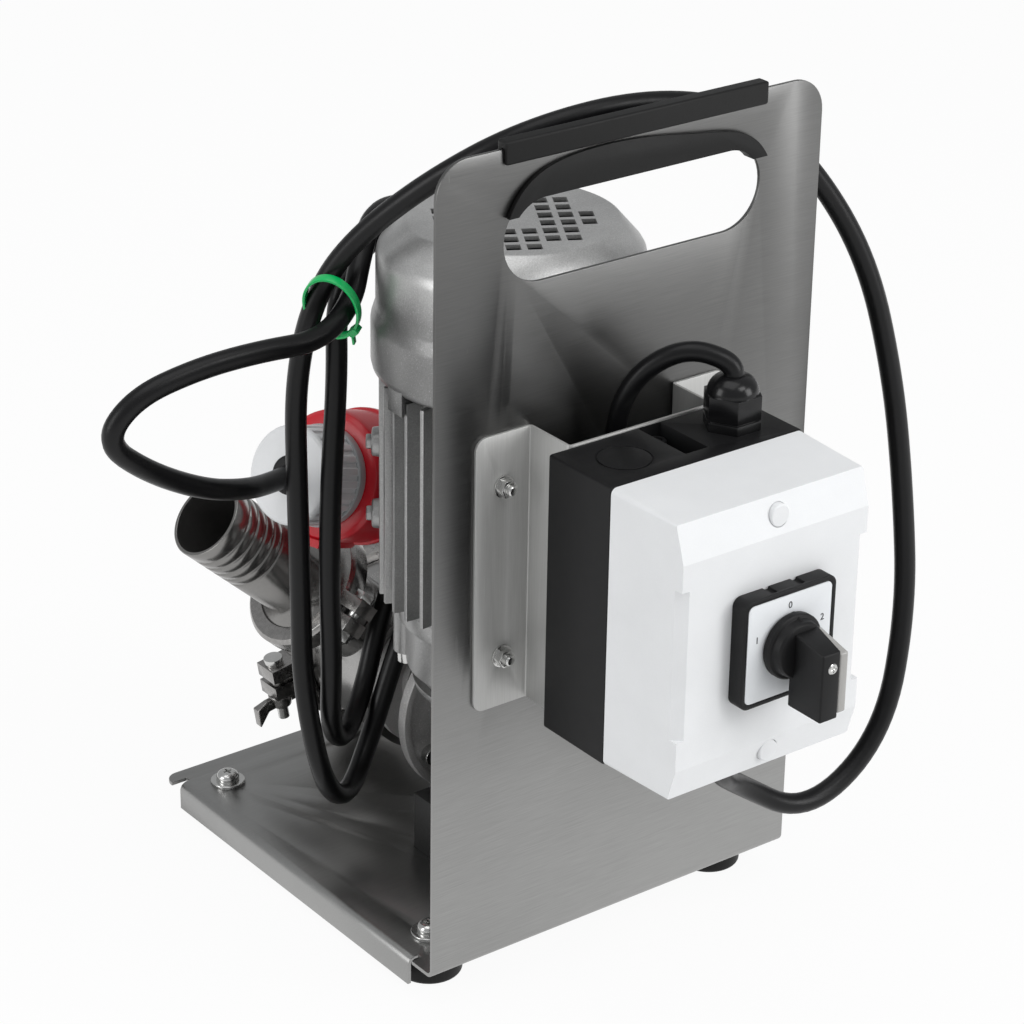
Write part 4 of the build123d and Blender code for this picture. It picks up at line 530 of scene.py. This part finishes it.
def spinTo(piece, degrees, place=(0, 0, 0)):
    # the same about the upright axis
    putAt(piece, place, (0, 0, math.radians(degrees)))


def block(name, low, high):
    # a box between two corners, the start of a shaped piece
    onlySelect()
    middle = [(a + b) / 2 for a, b in zip(low, high)]
    bpy.ops.mesh.primitive_cube_add(size=1, location=mm(*middle))
    piece = bpy.context.object
    piece.name = name
    piece.scale = mm(*[b - a for a, b in zip(low, high)])
    bpy.ops.object.transform_apply(location=True, scale=True)
    return piece


def pickFaces(piece, test):
    # leaves the piece in edit mode, with the faces selected whose centre and normal pass the test
    onlySelect(piece)
    bpy.ops.object.mode_set(mode="EDIT")
    bpy.ops.mesh.select_mode(type="FACE")
    bpy.ops.mesh.select_all(action="DESELECT")
    bpy.ops.object.mode_set(mode="OBJECT")
    for face in piece.data.polygons:
        face.select = bool(test(face.center * 1000, face.normal))
    bpy.ops.object.mode_set(mode="EDIT")


def resizeFaces(piece, test, share, place):
    # scales the faces that pass the test about a place
    pickFaces(piece, test)
    bpy.ops.transform.resize(value=share, center_override=mm(*place))
    bpy.ops.object.mode_set(mode="OBJECT")


def sinkFaces(width, depth):
    # insets each selected face by itself, and lowers it or lifts it
    bpy.ops.mesh.inset(thickness=0.001 * width, depth=0.001 * depth, use_individual=True)


def isFront(spot, normal):
    return normal.y < -0.9


def joined(first, *others):
    onlySelect(first, *others)
    bpy.ops.object.join()
    return first


def cutWith(piece, *cutters):
    for cutter in cutters:
        useModifier(piece, "BOOLEAN", object=cutter, operation="DIFFERENCE", solver="EXACT")
        bpy.data.objects.remove(cutter)


plug = {
    "back": (-100.63, 109.37, 220.58),
    "aim": (0.8954, 0.2742, -0.3509),
    "bodySteps": [(0, 6.5), (0, 22.4), (0.6, 23.8), (2.0, 24.8), (24.0, 24.8)],
    "flutes": 24,
    "fluteStart": 6.0,
    "fluteEdge": 0.5,
    "fluteDepth": 0.9,
    "grommetSteps": [(-1.2, 6.6), (-1.6, 8.4), (-1.0, 9.6), (0.4, 9.9)],
    "ringSteps": [(23.4, 25.0), (24.0, 25.6), (28.4, 25.6), (29.0, 25.0)],
    "shroudSteps": [
        (29.0, 26.0), (30.0, 30.5), (32.0, 32.6), (35.0, 33.2), (58.0, 33.2), (59.0, 34.6),
        (63.0, 34.6), (63.0, 30.4), (35.0, 30.4), (35.0, 26.0), (56.0, 19.0),
    ],
    "keyLow": (-6.0, -36.6, 30.0),
    "keyHigh": (6.0, -32.0, 62.5),
    "keyTaper": (0.6, 1, 0.9),
    "pins": 5,
    "pinStart": 18.0,
    "pinOut": 14.0,
    "pinSteps": [(54, 2.4), (66.5, 2.4), (68.5, 1.9), (69.0, 1.2)],
}


def makePlugBody(turn):
    back, aim = plug["back"], plug["aim"]
    body = turned("plugBody", plug["bodySteps"], back, aim, 2 * plug["flutes"])
    along = Vector(aim).normalized()

    def isFlute(spot, normal):
        out = turn.inverted() @ (spot - Vector(back))
        step = round(math.atan2(out.y, out.x) / (2 * math.pi) * 2 * plug["flutes"] - 0.5)
        onSide = abs(normal.dot(along)) < 0.1 and out.z > plug["fluteStart"]
        return onSide and step % 2 == 0

    pickFaces(body, isFlute)
    sinkFaces(plug["fluteEdge"], -plug["fluteDepth"])
    roundEdges(body, 0.25, 2, 20)
    hangOn(body, "plug_body")


def makePlug():
    back, aim = plug["back"], plug["aim"]
    turn = Vector(aim).normalized().to_track_quat("Z", "Y")
    makePlugBody(turn)
    grommet = turned("plugGrommet", plug["grommetSteps"], back, aim, 48)
    roundEdges(grommet, 0.3)
    hangBeside(grommet, "plug_body")
    ring = turned("plugRing", plug["ringSteps"], back, aim)
    roundEdges(ring, 0.3)
    hangOn(ring, "plug_ring", finishes["grey_plastic"])
    shroud = turned("plugShroud", plug["shroudSteps"], back, aim, 72)
    low, high = plug["keyLow"], plug["keyHigh"]
    key = block("shroudKey", low, high)
    resizeFaces(key, isFront, plug["keyTaper"], (0, low[1], 46))
    putAt(key, back, turn.to_euler())
    joined(shroud, key)
    roundEdges(shroud, 0.5, 3)
    hangOn(shroud, "plug_shroud")
    pins = []
    for step in range(plug["pins"]):
        angle = math.radians(360 / plug["pins"] * step + plug["pinStart"])
        side = turn @ (Vector((math.cos(angle), math.sin(angle), 0)) * plug["pinOut"])
        pins.append(turned("pin", plug["pinSteps"], tuple(Vector(back) + side), aim, 20))
    pinPiece = joined(*pins)
    pinPiece.name = "plugPins"
    roundEdges(pinPiece, 0.15)
    hangOn(pinPiece, "plug_pins", finishes["zinc_steel"])


makePlug()
print("plug modelled")

knob = {
    "centre": (-25.0, -171.6, 225.0),
    "skirt": [
        (0, 15.2), (0.6, 15.6), (3.4, 15.6), (4.0, 14.9), (4.2, 13.6), (7.6, 13.2), (8.6, 12.4),
        (8.9, 9.0),
    ],
    "pointerLow": (-28.5, -177.6, 235.0),
    "pointerHigh": (-19.5, -171.8, 240.6),
    "pointerTip": (0.12, 1, 1),
    "pointerFront": (0.7, 1, 0.7),
    "gripLow": (-29.8, -198.8, 198.3),
    "gripHigh": (-15.6, -177.4, 235.0),
    "gripFront": (0.72, 1, 0.9),
    "gripRound": 0.9,
    "slideLow": (-18.4, -197.4, 199.4),
    "slideHigh": (-13.6, -178.5, 233.5),
    "slideFront": (1, 1, 0.86),
}


def makeKnob():
    skirt = turned("selectorKnob", knob["skirt"], knob["centre"], (0, -1, 0), 72)
    low, high = knob["pointerLow"], knob["pointerHigh"]
    pointer = block("pointer", low, high)
    middle = (low[0] + high[0]) / 2
    resizeFaces(
        pointer, lambda spot, normal: normal.z > 0.9, knob["pointerTip"], (middle, 0, high[2]))
    resizeFaces(pointer, isFront, knob["pointerFront"], (middle, 0, low[2]))
    grip = block("grip", knob["gripLow"], knob["gripHigh"])
    resizeFaces(grip, isFront, knob["gripFront"], knob["gripLow"])
    roundBox(grip, knob["gripRound"])
    joined(skirt, pointer, grip)
    roundEdges(skirt, 0.35, 2)
    hangOn(skirt, "knob")


def makeLockSlide():
    slide = block("lockSlide", knob["slideLow"], knob["slideHigh"])
    resizeFaces(slide, isFront, knob["slideFront"], knob["slideLow"])
    roundEdges(slide, 0.9, 3)
    hangOn(slide, "lock_slide")


makeKnob()
makeLockSlide()
print("knob modelled")

numbers = {
    "marks": [("1", (-43.7, 231.7)), ("0", (-25.2, 243.8)), ("2", (-6.0, 232.4))],
    "size": 4.6,
    "front": -171.2,
    "thick": 0.06,
}


def makeNumbers():
    pieces = []
    for mark, (across, up) in numbers["marks"]:
        onlySelect()
        bpy.ops.object.text_add(
            location=mm(across, numbers["front"], up), rotation=(math.pi / 2, 0, 0))
        text = bpy.context.object
        text.data.body = mark
        text.data.size = 0.001 * numbers["size"]
        text.data.extrude = 0.001 * numbers["thick"]
        text.data.align_x = "CENTER"
        text.data.align_y = "CENTER"
        bpy.ops.object.convert(target="MESH")
        bpy.ops.object.transform_apply(location=True, rotation=True)
        pieces.append(bpy.context.object)
    marks = joined(*pieces)
    marks.name = "dialNumbers"
    hangBeside(marks, "dial_plate")


makeNumbers()
print("dial numbers made")

tie = {
    "centre": (-98.9, 72.0, 321.7),
    "facing": (-0.80, -0.51, -0.32),
    "reach": (16.6, 12.8),
    "turn": -93.4,
    "sides": 64,
    "width": 4.4,
    "thick": 1.3,
    "headTurn": 48.0,
    "headSize": (3.6, 5.2),
    "headSink": 0.6,
    "headOver": 0.4,
    "mouthEdge": 1.2,
    "mouthDepth": 0.8,
    "tailSize": (1.1, 6.6),
    "tailInset": 0.8,
    "tailPlace": (1.4, -1.8, 0),
    "tailTurn": 45,
}


def makeTieHead():
    # the square head with its mouth and the cut end of the strap
    deep, wide = tie["headSize"]
    sink, over = tie["headSink"], tie["headOver"]
    head = block("tieHead", (-sink, -wide / 2, -over), (deep - sink, wide / 2, tie["width"] + over))
    pickFaces(head, lambda spot, normal: normal.x > 0.9)
    sinkFaces(tie["mouthEdge"], -tie["mouthDepth"])
    thick, long = tie["tailSize"]
    inset = tie["tailInset"]
    tail = block("tieTail", (-thick / 2, -long, inset), (thick / 2, 0, tie["width"] - inset))
    spinTo(tail, tie["tailTurn"], tie["tailPlace"])
    joined(head, tail)
    turn = math.radians(tie["headTurn"])
    place = (tie["reach"][0] * math.cos(turn), tie["reach"][1] * math.sin(turn), 0)
    spinTo(head, tie["headTurn"], place)
    return head


def makeTie():
    # an oval band round the hank
    onlySelect()
    bpy.ops.mesh.primitive_circle_add(vertices=tie["sides"], radius=1.0)
    band = bpy.context.object
    band.name = "cableTie"
    band.scale = (*mm(*tie["reach"]), 1.0)
    bpy.ops.object.transform_apply(scale=True)
    bpy.ops.object.mode_set(mode="EDIT")
    bpy.ops.mesh.select_mode(type="VERT")
    bpy.ops.mesh.select_all(action="SELECT")
    bpy.ops.mesh.extrude_region_move(TRANSFORM_OT_translate={"value": mm(0, 0, tie["width"])})
    bpy.ops.mesh.select_all(action="SELECT")
    bpy.ops.mesh.normals_make_consistent(inside=False)
    bpy.ops.object.mode_set(mode="OBJECT")
    useModifier(band, "SOLIDIFY", thickness=0.001 * tie["thick"], offset=1)
    joined(band, makeTieHead())
    roundEdges(band, 0.25, 2)
    level = Vector(tie["facing"]).to_track_quat("Z", "Y")
    spin = Quaternion((0, 0, 1), math.radians(tie["turn"]))
    putAt(band, tie["centre"], (level @ spin).to_euler())
    hangOn(band, "cable_tie")


makeTie()
print("tie modelled")

motor = {
    "axis": (-24.0, 34.375, 0.0),
    "coreSteps": [(165.0, 53.0), (168.0, 53.0), (283.5, 53.0), (285.5, 53.0)],
    "sides": 72,
    "finSpan": (168.0, 283.0),
    "finRise": 9.6,
    "finFoot": 0.7,
    "finTaper": 0.45,
    "bossTurn": 142.5,
    "bossRoom": 8.0,  # degrees on each side of the bosses without fins
    "boxRoom": 26.0,  # the same at the terminal box
    "bossUps": (207.0, 245.0),
    "bossSteps": [(50, 8.6), (62, 7.4), (65, 7.0), (65.6, 6.2)],
    "boltSteps": [(65, 4.0), (68, 4.0), (68.4, 3.4)],
    "padLow": (22.0, 15.4, 196.0),
    "padHigh": (37.6, 53.4, 258.0),
}


def makeHousing():
    axis = Vector(motor["axis"])
    sides = motor["sides"]
    core = turned("finnedHousing", motor["coreSteps"], motor["axis"], sides=sides)

    def isFin(spot, normal):
        out = spot - axis
        turn = math.degrees(math.atan2(out.y, out.x)) % 360
        step = round(turn / (360 / sides) - 0.5)
        clearBoss = abs(turn - motor["bossTurn"]) > motor["bossRoom"]
        clearBox = min(turn, 360 - turn) > motor["boxRoom"]
        low, high = motor["finSpan"]
        onSide = low < spot.z < high and abs(normal.z) < 0.1
        return onSide and step % 2 == 0 and clearBoss and clearBox

    pickFaces(core, isFin)
    sinkFaces(motor["finFoot"], 0.0)
    sinkFaces(motor["finTaper"], motor["finRise"])
    turn = math.radians(motor["bossTurn"])
    out = Vector((math.cos(turn), math.sin(turn), 0))
    extras = []
    for up in motor["bossUps"]:
        base = (axis.x, axis.y, up)
        extras.append(turned("boss", motor["bossSteps"], base, out, 28))
        extras.append(turned("bossBolt", motor["boltSteps"], base, out, 6))
    extras.append(block("boxPad", motor["padLow"], motor["padHigh"]))
    joined(core, *extras)
    roundEdges(core, 0.3, 2, 28)
    hangOn(core, "motor_housing")


grille = {
    "coverSteps": [
        (361.0, 49.6), (360.2, 51.2), (348.6, 61.4), (346.0, 62.9), (342.6, 63.6), (319.0, 63.7),
        (317.4, 64.1), (312.4, 65.7), (310.4, 66.0), (291.0, 66.0), (287.6, 65.2), (285.6, 63.6),
    ],
    "sides": 128,
    "skin": 2.0,
    "tabLow": (63.2, -5.8, 276.2),
    "tabHigh": (65.2, 5.8, 289.0),
    "tabTurn": 178.0,
    "first": (-0.9, 43.6),  # the slot of column 0 and row 0, and the steps between slots
    "across": (8.5, -4.8),
    "down": (-5.1, -8.7),
    "slotSize": (6.9, 7.0),
    "slotReach": (6.0, 2.0),
    "rows": {  # columns and their rows, a lattice with a closed middle
        (0, 1): (0, 1, 2, 3, 4, 5), (-3, -4): (-1, 0, 1, 2, 3, 4), (-1, -2): (-2, -1, 0, 4, 5, 6),
        (2,): (2, 3), (-5,): (1, 2),
    },
}


def makeSlots():
    wide, deep = grille["slotSize"]
    below, above = grille["slotReach"]
    top = grille["coverSteps"][0][0]
    tilt = math.degrees(math.atan2(grille["across"][1], grille["across"][0]))
    slots = []
    for columns, rows in grille["rows"].items():
        for i, j in [(i, j) for i in columns for j in rows]:
            low, high = (-wide / 2, -deep / 2, top - below), (wide / 2, deep / 2, top + above)
            slot = block("slot", low, high)
            steps = zip(grille["first"], grille["across"], grille["down"])
            spot = [first + i * across + j * down for first, across, down in steps]
            spinTo(slot, tilt, (*spot, 0))
            slots.append(slot)
    return joined(*slots)


def makeFanCover():
    cover = turned("fanCover", grille["coverSteps"], motor["axis"], sides=grille["sides"])
    rim = grille["coverSteps"][-1][0] + 0.4
    pickFaces(cover, lambda spot, normal: normal.z < -0.9 and spot.z < rim)
    bpy.ops.mesh.delete(type="FACE")
    bpy.ops.object.mode_set(mode="OBJECT")
    useModifier(cover, "SOLIDIFY", thickness=0.001 * grille["skin"], offset=-1)
    tabs = []
    for quarter in range(4):
        tab = block("tab", grille["tabLow"], grille["tabHigh"])
        spinTo(tab, grille["tabTurn"] + 90 * quarter, motor["axis"])
        tabs.append(tab)
    joined(cover, *tabs)
    roundEdges(cover, 0.35, 2, 40)
    cutWith(cover, makeSlots())
    onlySelect(cover)
    bpy.ops.object.shade_smooth_by_angle(angle=math.radians(28))
    hangOn(cover, "fan_cover", ownFinishes["fanCover"])


makeHousing()
makeFanCover()
print("motor modelled")

gearbox = {
    "low": (-49.0, 4.6, 52.0),
    "high": (51.0, 64.2, 117.0),
    "corner": 8.0,
    "panelEdge": 4.0,
    "panelSlope": 1.2,
    "panelDepth": 2.2,
    "collar": [(100.0, 36.0), (116.0, 40.0), (118.0, 45.0), (121.9, 46.0)],
    "ribUps": (64.0, 84.0, 104.0),
    "ribFronts": (13.0, 49.0),
    "ribSpan": (-53.0, 55.0),
    "ribSize": (7.0, 6.0),
}


def makeGearbox():
    housing = block("gearHousing", gearbox["low"], gearbox["high"])
    roundBox(housing, gearbox["corner"], 6)
    pickFaces(housing, lambda spot, normal: abs(normal.x) > 0.99 or normal.z < -0.99)
    sinkFaces(gearbox["panelEdge"], 0.0)
    sinkFaces(gearbox["panelSlope"], -gearbox["panelDepth"])
    collar = turned("gearCollar", gearbox["collar"], motor["axis"])
    left, right = gearbox["ribSpan"]
    deep, tall = gearbox["ribSize"]
    ribs = []
    for up in gearbox["ribUps"]:
        for front in gearbox["ribFronts"]:
            low, high = (left, front, up - tall / 2), (right, front + deep, up + tall / 2)
            ribs.append(block("gearRib", low, high))
    joined(housing, collar, *ribs)
    roundEdges(housing, 0.8, 3, 30)
    hangOn(housing, "gearbox_housing")


makeGearbox()
print("gearbox modelled")

box = {
    "low": (-82.0, -115.1, 156.5),
    "high": (28.0, -70.7, 293.5),
    "corner": 1.2,
    "pocketX": (-32.2, -19.4),
    "pocketY": (-105.4, -71.9),
    "topPocket": (279.0, 294.0),
    "lowPocket": (155.5, 170.5),
    "knockout": (-57.0, -93.0),
    "knockoutRadius": 12.9,
    "knockoutGap": 0.7,
    "screwPlace": (-25.8, -77.4, 279.0),
    "screwSteps": [(0, 4.6), (9, 4.6), (9.6, 4.1), (9.6, 2.8), (8.8, 2.8)],
    "stepLow": (-32.4, -84.0, 278.5),
    "stepHigh": (-19.2, -71.5, 281.5),
}


def makeBoxBase():
    base = block("boxBase", box["low"], box["high"])
    roundBox(base, box["corner"])
    cutters = []
    for span in (box["topPocket"], box["lowPocket"]):
        corners = list(zip(box["pocketX"], box["pocketY"], span))
        cutters.append(block("pocket", *corners))
    outer = box["knockoutRadius"]
    inner = outer - box["knockoutGap"]
    extras = []
    for level in (box["low"][2], box["high"][2]):
        place = (*box["knockout"], level)
        cutters.append(turned("ringCut", [(-0.5, outer), (0.5, outer)], place))
        extras.append(turned("ringPlug", [(-0.6, inner), (0.05, inner)], place))
    cutWith(base, *cutters)
    extras.append(turned("pocketScrew", box["screwSteps"], box["screwPlace"]))
    extras.append(block("pocketStep", box["stepLow"], box["stepHigh"]))
    joined(base, *extras)
    roundEdges(base, 0.2, 2, 40)
    hangOn(base, "switch_base")


makeBoxBase()
print("switch box modelled")

knobScrew = {
    "place": (-23.9, -198.0, 223.8),
    "steps": [(0, 2.6), (0.9, 2.6), (1.3, 2.2), (1.5, 1.2)],
    "crossReach": 1.6,
    "crossWide": 0.35,  # both are half sizes
    "crossFrom": (1.0, 2.0),
}


def makeKnobScrew():
    x, y, z = knobScrew["place"]
    screw = turned("knobScrew", knobScrew["steps"], knobScrew["place"], (0, -1, 0), 32)
    long, wide = knobScrew["crossReach"], knobScrew["crossWide"]
    near, far = knobScrew["crossFrom"]
    cutters = [
        block("cross", (x - across, y - far, z - up), (x + across, y - near, z + up))
        for across, up in ((long, wide), (wide, long))
    ]
    cutWith(screw, *cutters)
    hangOn(screw, "knob_screw")


makeKnobScrew()
print("knob screw modelled")

pump = {
    "axis": (0.0, 155.375, 75.0),
    "turns": {"left": 137.6, "right": 42.4},
    "pipe": 20.6,
    "barbStart": [
        (82.2, 17.6), (82.2, 30.0), (84.8, 30.0), (87.5, 25.0), (92.0, 21.8), (96.0, 20.6),
    ],
    "groove": {"first": 126.0, "pitch": 6.5, "count": 5, "wide": 2.0, "deep": 0.9, "slope": 0.5},
    "barbEnd": [(162.4, 20.6), (163.0, 20.2), (163.0, 18.7), (90.0, 18.7)],
    "boltOut": 62.0,  # from the pump's axis
    "boltTurn": 190.0,
    "boltPlace": 184.6,  # along the axis
    "hubSteps": [(9.6, 6.4), (12.0, 6.4), (16.5, 5.4), (17.6, 4.6)],
    "wingLow": (-1.9, 3.0, 10.6),
    "wingHigh": (1.9, 9.0, 17.0),
    "wingReach": (0, 7.0, 4.2),
    "wingSpread": (1.5, 1, 1.7),
    "wingTip": (0, 16.0, 18.0),
}


def makeBarbs():
    groove, pipe = pump["groove"], pump["pipe"]
    low, slope = pipe - groove["deep"], groove["slope"]
    steps = list(pump["barbStart"])
    for step in range(groove["count"]):
        start = groove["first"] + step * groove["pitch"]
        end = start + groove["wide"]
        steps += [(start, pipe), (start + slope, low), (end - slope, low), (end, pipe)]
    steps += pump["barbEnd"]
    for side, degrees in pump["turns"].items():
        angle = math.radians(degrees)
        aim = (math.cos(angle), 0, math.sin(angle))
        barb = turned(side + "Barb", steps, pump["axis"], aim, 96)
        roundEdges(barb, 0.12, 1, 40)
        hangOn(barb, side + "_hose_barb", ownFinishes["hoseBarb"])


def makeWing(degrees):
    wing = block("wing", pump["wingLow"], pump["wingHigh"])
    pickFaces(wing, lambda spot, normal: normal.y > 0.9)
    bpy.ops.mesh.extrude_region_move(TRANSFORM_OT_translate={"value": mm(*pump["wingReach"])})
    bpy.ops.transform.resize(value=pump["wingSpread"], center_override=mm(*pump["wingTip"]))
    bpy.ops.object.mode_set(mode="OBJECT")
    spinTo(wing, degrees)
    return wing


def makeWingNut():
    # the hub stands on the clamp's lower ear and its two wings lie along the pump's axis
    angle = math.radians(pump["boltTurn"])
    spot = Vector((math.cos(angle), 0, math.sin(angle))) * pump["boltOut"]
    spot += Vector((0, pump["boltPlace"], pump["axis"][2]))
    aim = Vector((-math.sin(angle), 0, math.cos(angle)))
    hub = turned("wingNut", pump["hubSteps"], spot, aim, 36)
    wings = [makeWing(degrees) for degrees in (180, 0)]
    for wing in wings:
        putAt(wing, spot, aim.to_track_quat("Z", "Y").to_euler())
    joined(hub, *wings)
    roundEdges(hub, 0.8, 3, 30)
    hangOn(hub, "wing_nut")


makeBarbs()
makeWingNut()
print("hose barbs and wing nut modelled")

dressed = [  # nodes whose CAD shape is right: node, piece name, edge radius in millimetres
    ("frame_plate", "standSheet", 0.25),
    ("hat_bracket", "hatBracket", 0.2),
    ("top_trim", "topTrim", 1.4),
    ("slot_trim", "slotTrim", 0.9),
    ("feet", "rubberFeet", 0.4),
    ("lead_grommet", "leadGrommet", 0.3),
    ("foot_screws", "footScrews", 0.2),
    ("foot_washers", "footWashers", 0.15),
    ("bracket_bolts", "bracketBolts", 0.15),
    ("bracket_washers", "bracketWashers", 0.1),
    ("bracket_nuts", "bracketNuts", 0.25),
    ("riser_screws", "riserScrews", 0.2),
    ("switch_cover", "boxCover", 0.7),
    ("screw_caps", "screwCaps", 0.3),
    ("dial_frame", "dialFrame", 0.5),
    ("dial_plate", "dialPlate", 0.2),
    ("glands", "cableGlands", 0.4),
    ("drive_end_shield", "driveShield", 0.6),
    ("shield_bolts", "shieldBolts", 0.2),
    ("gearbox_cover", "gearCover", 0.4),
    ("gearbox_riser", "gearRiser", 0.5),
    ("output_flange", "outputFlange", 0.4),
    ("flange_screws", "flangeScrews", 0.2),
    ("lantern", "pumpLantern", 0.6),
    ("pump_body", "pumpBody", 0.4),
    ("pump_cover", "pumpCover", 0.3),
    ("cover_clamp", "coverClamp", 0.5),
    ("cover_clamp_bolt", "coverClampBolt", 0.2),
    ("port_gaskets", "portGaskets", 0.1),
    ("port_clamp_bolts", "portClampBolts", 0.25),
    ("port_clamp_nuts", "portClampNuts", 0.2),
    ("left_port_clamp", "leftPortClamp", 0.5),
    ("right_port_clamp", "rightPortClamp", 0.5),
    ("terminal_box", "terminalBox", 0.6),
    ("terminal_lid", "terminalLid", 0.6),
]
dressing = {
    "merge": 0.000004,
    "flat": 0.6,
    "angle": 30.0,  # degrees past which an edge is rounded
    "smooth": 35.0,
    "crispAngle": 9.0,  # both, for the pieces whose facets lie close to flat
    "crisp": ("boxCover",),
}


def dressNode(node, name, radius):
    # a merged copy of the node's mesh with fine rounded edges
    mesh = frame["nodes"][node].data.copy()
    mesh.materials.clear()
    piece = bpy.data.objects.new(name, mesh)
    bpy.context.scene.collection.objects.link(piece)
    onlySelect(piece)
    bpy.ops.object.mode_set(mode="EDIT")
    bpy.ops.mesh.select_all(action="SELECT")
    bpy.ops.mesh.customdata_custom_splitnormals_clear()
    bpy.ops.mesh.remove_doubles(threshold=dressing["merge"])
    bpy.ops.mesh.dissolve_limited(angle_limit=math.radians(dressing["flat"]))
    bpy.ops.object.mode_set(mode="OBJECT")
    if name in dressing["crisp"]:
        angle = smooth = dressing["crispAngle"]
    else:
        angle, smooth = dressing["angle"], dressing["smooth"]
    roundEdges(piece, radius, 2, angle, smooth)
    hangOn(piece, node, ownFinishes.get(name))


for row in dressed:
    dressNode(*row)
print("dressed nodes done,", len(dressed))

# what stays as the CAD made it, inside the motor, gearbox and pump
for name, node in frame["nodes"].items():
    if not node.hide_render:
        node.data.materials.clear()
        node.data.materials.append(finishes[slotOf[name]])
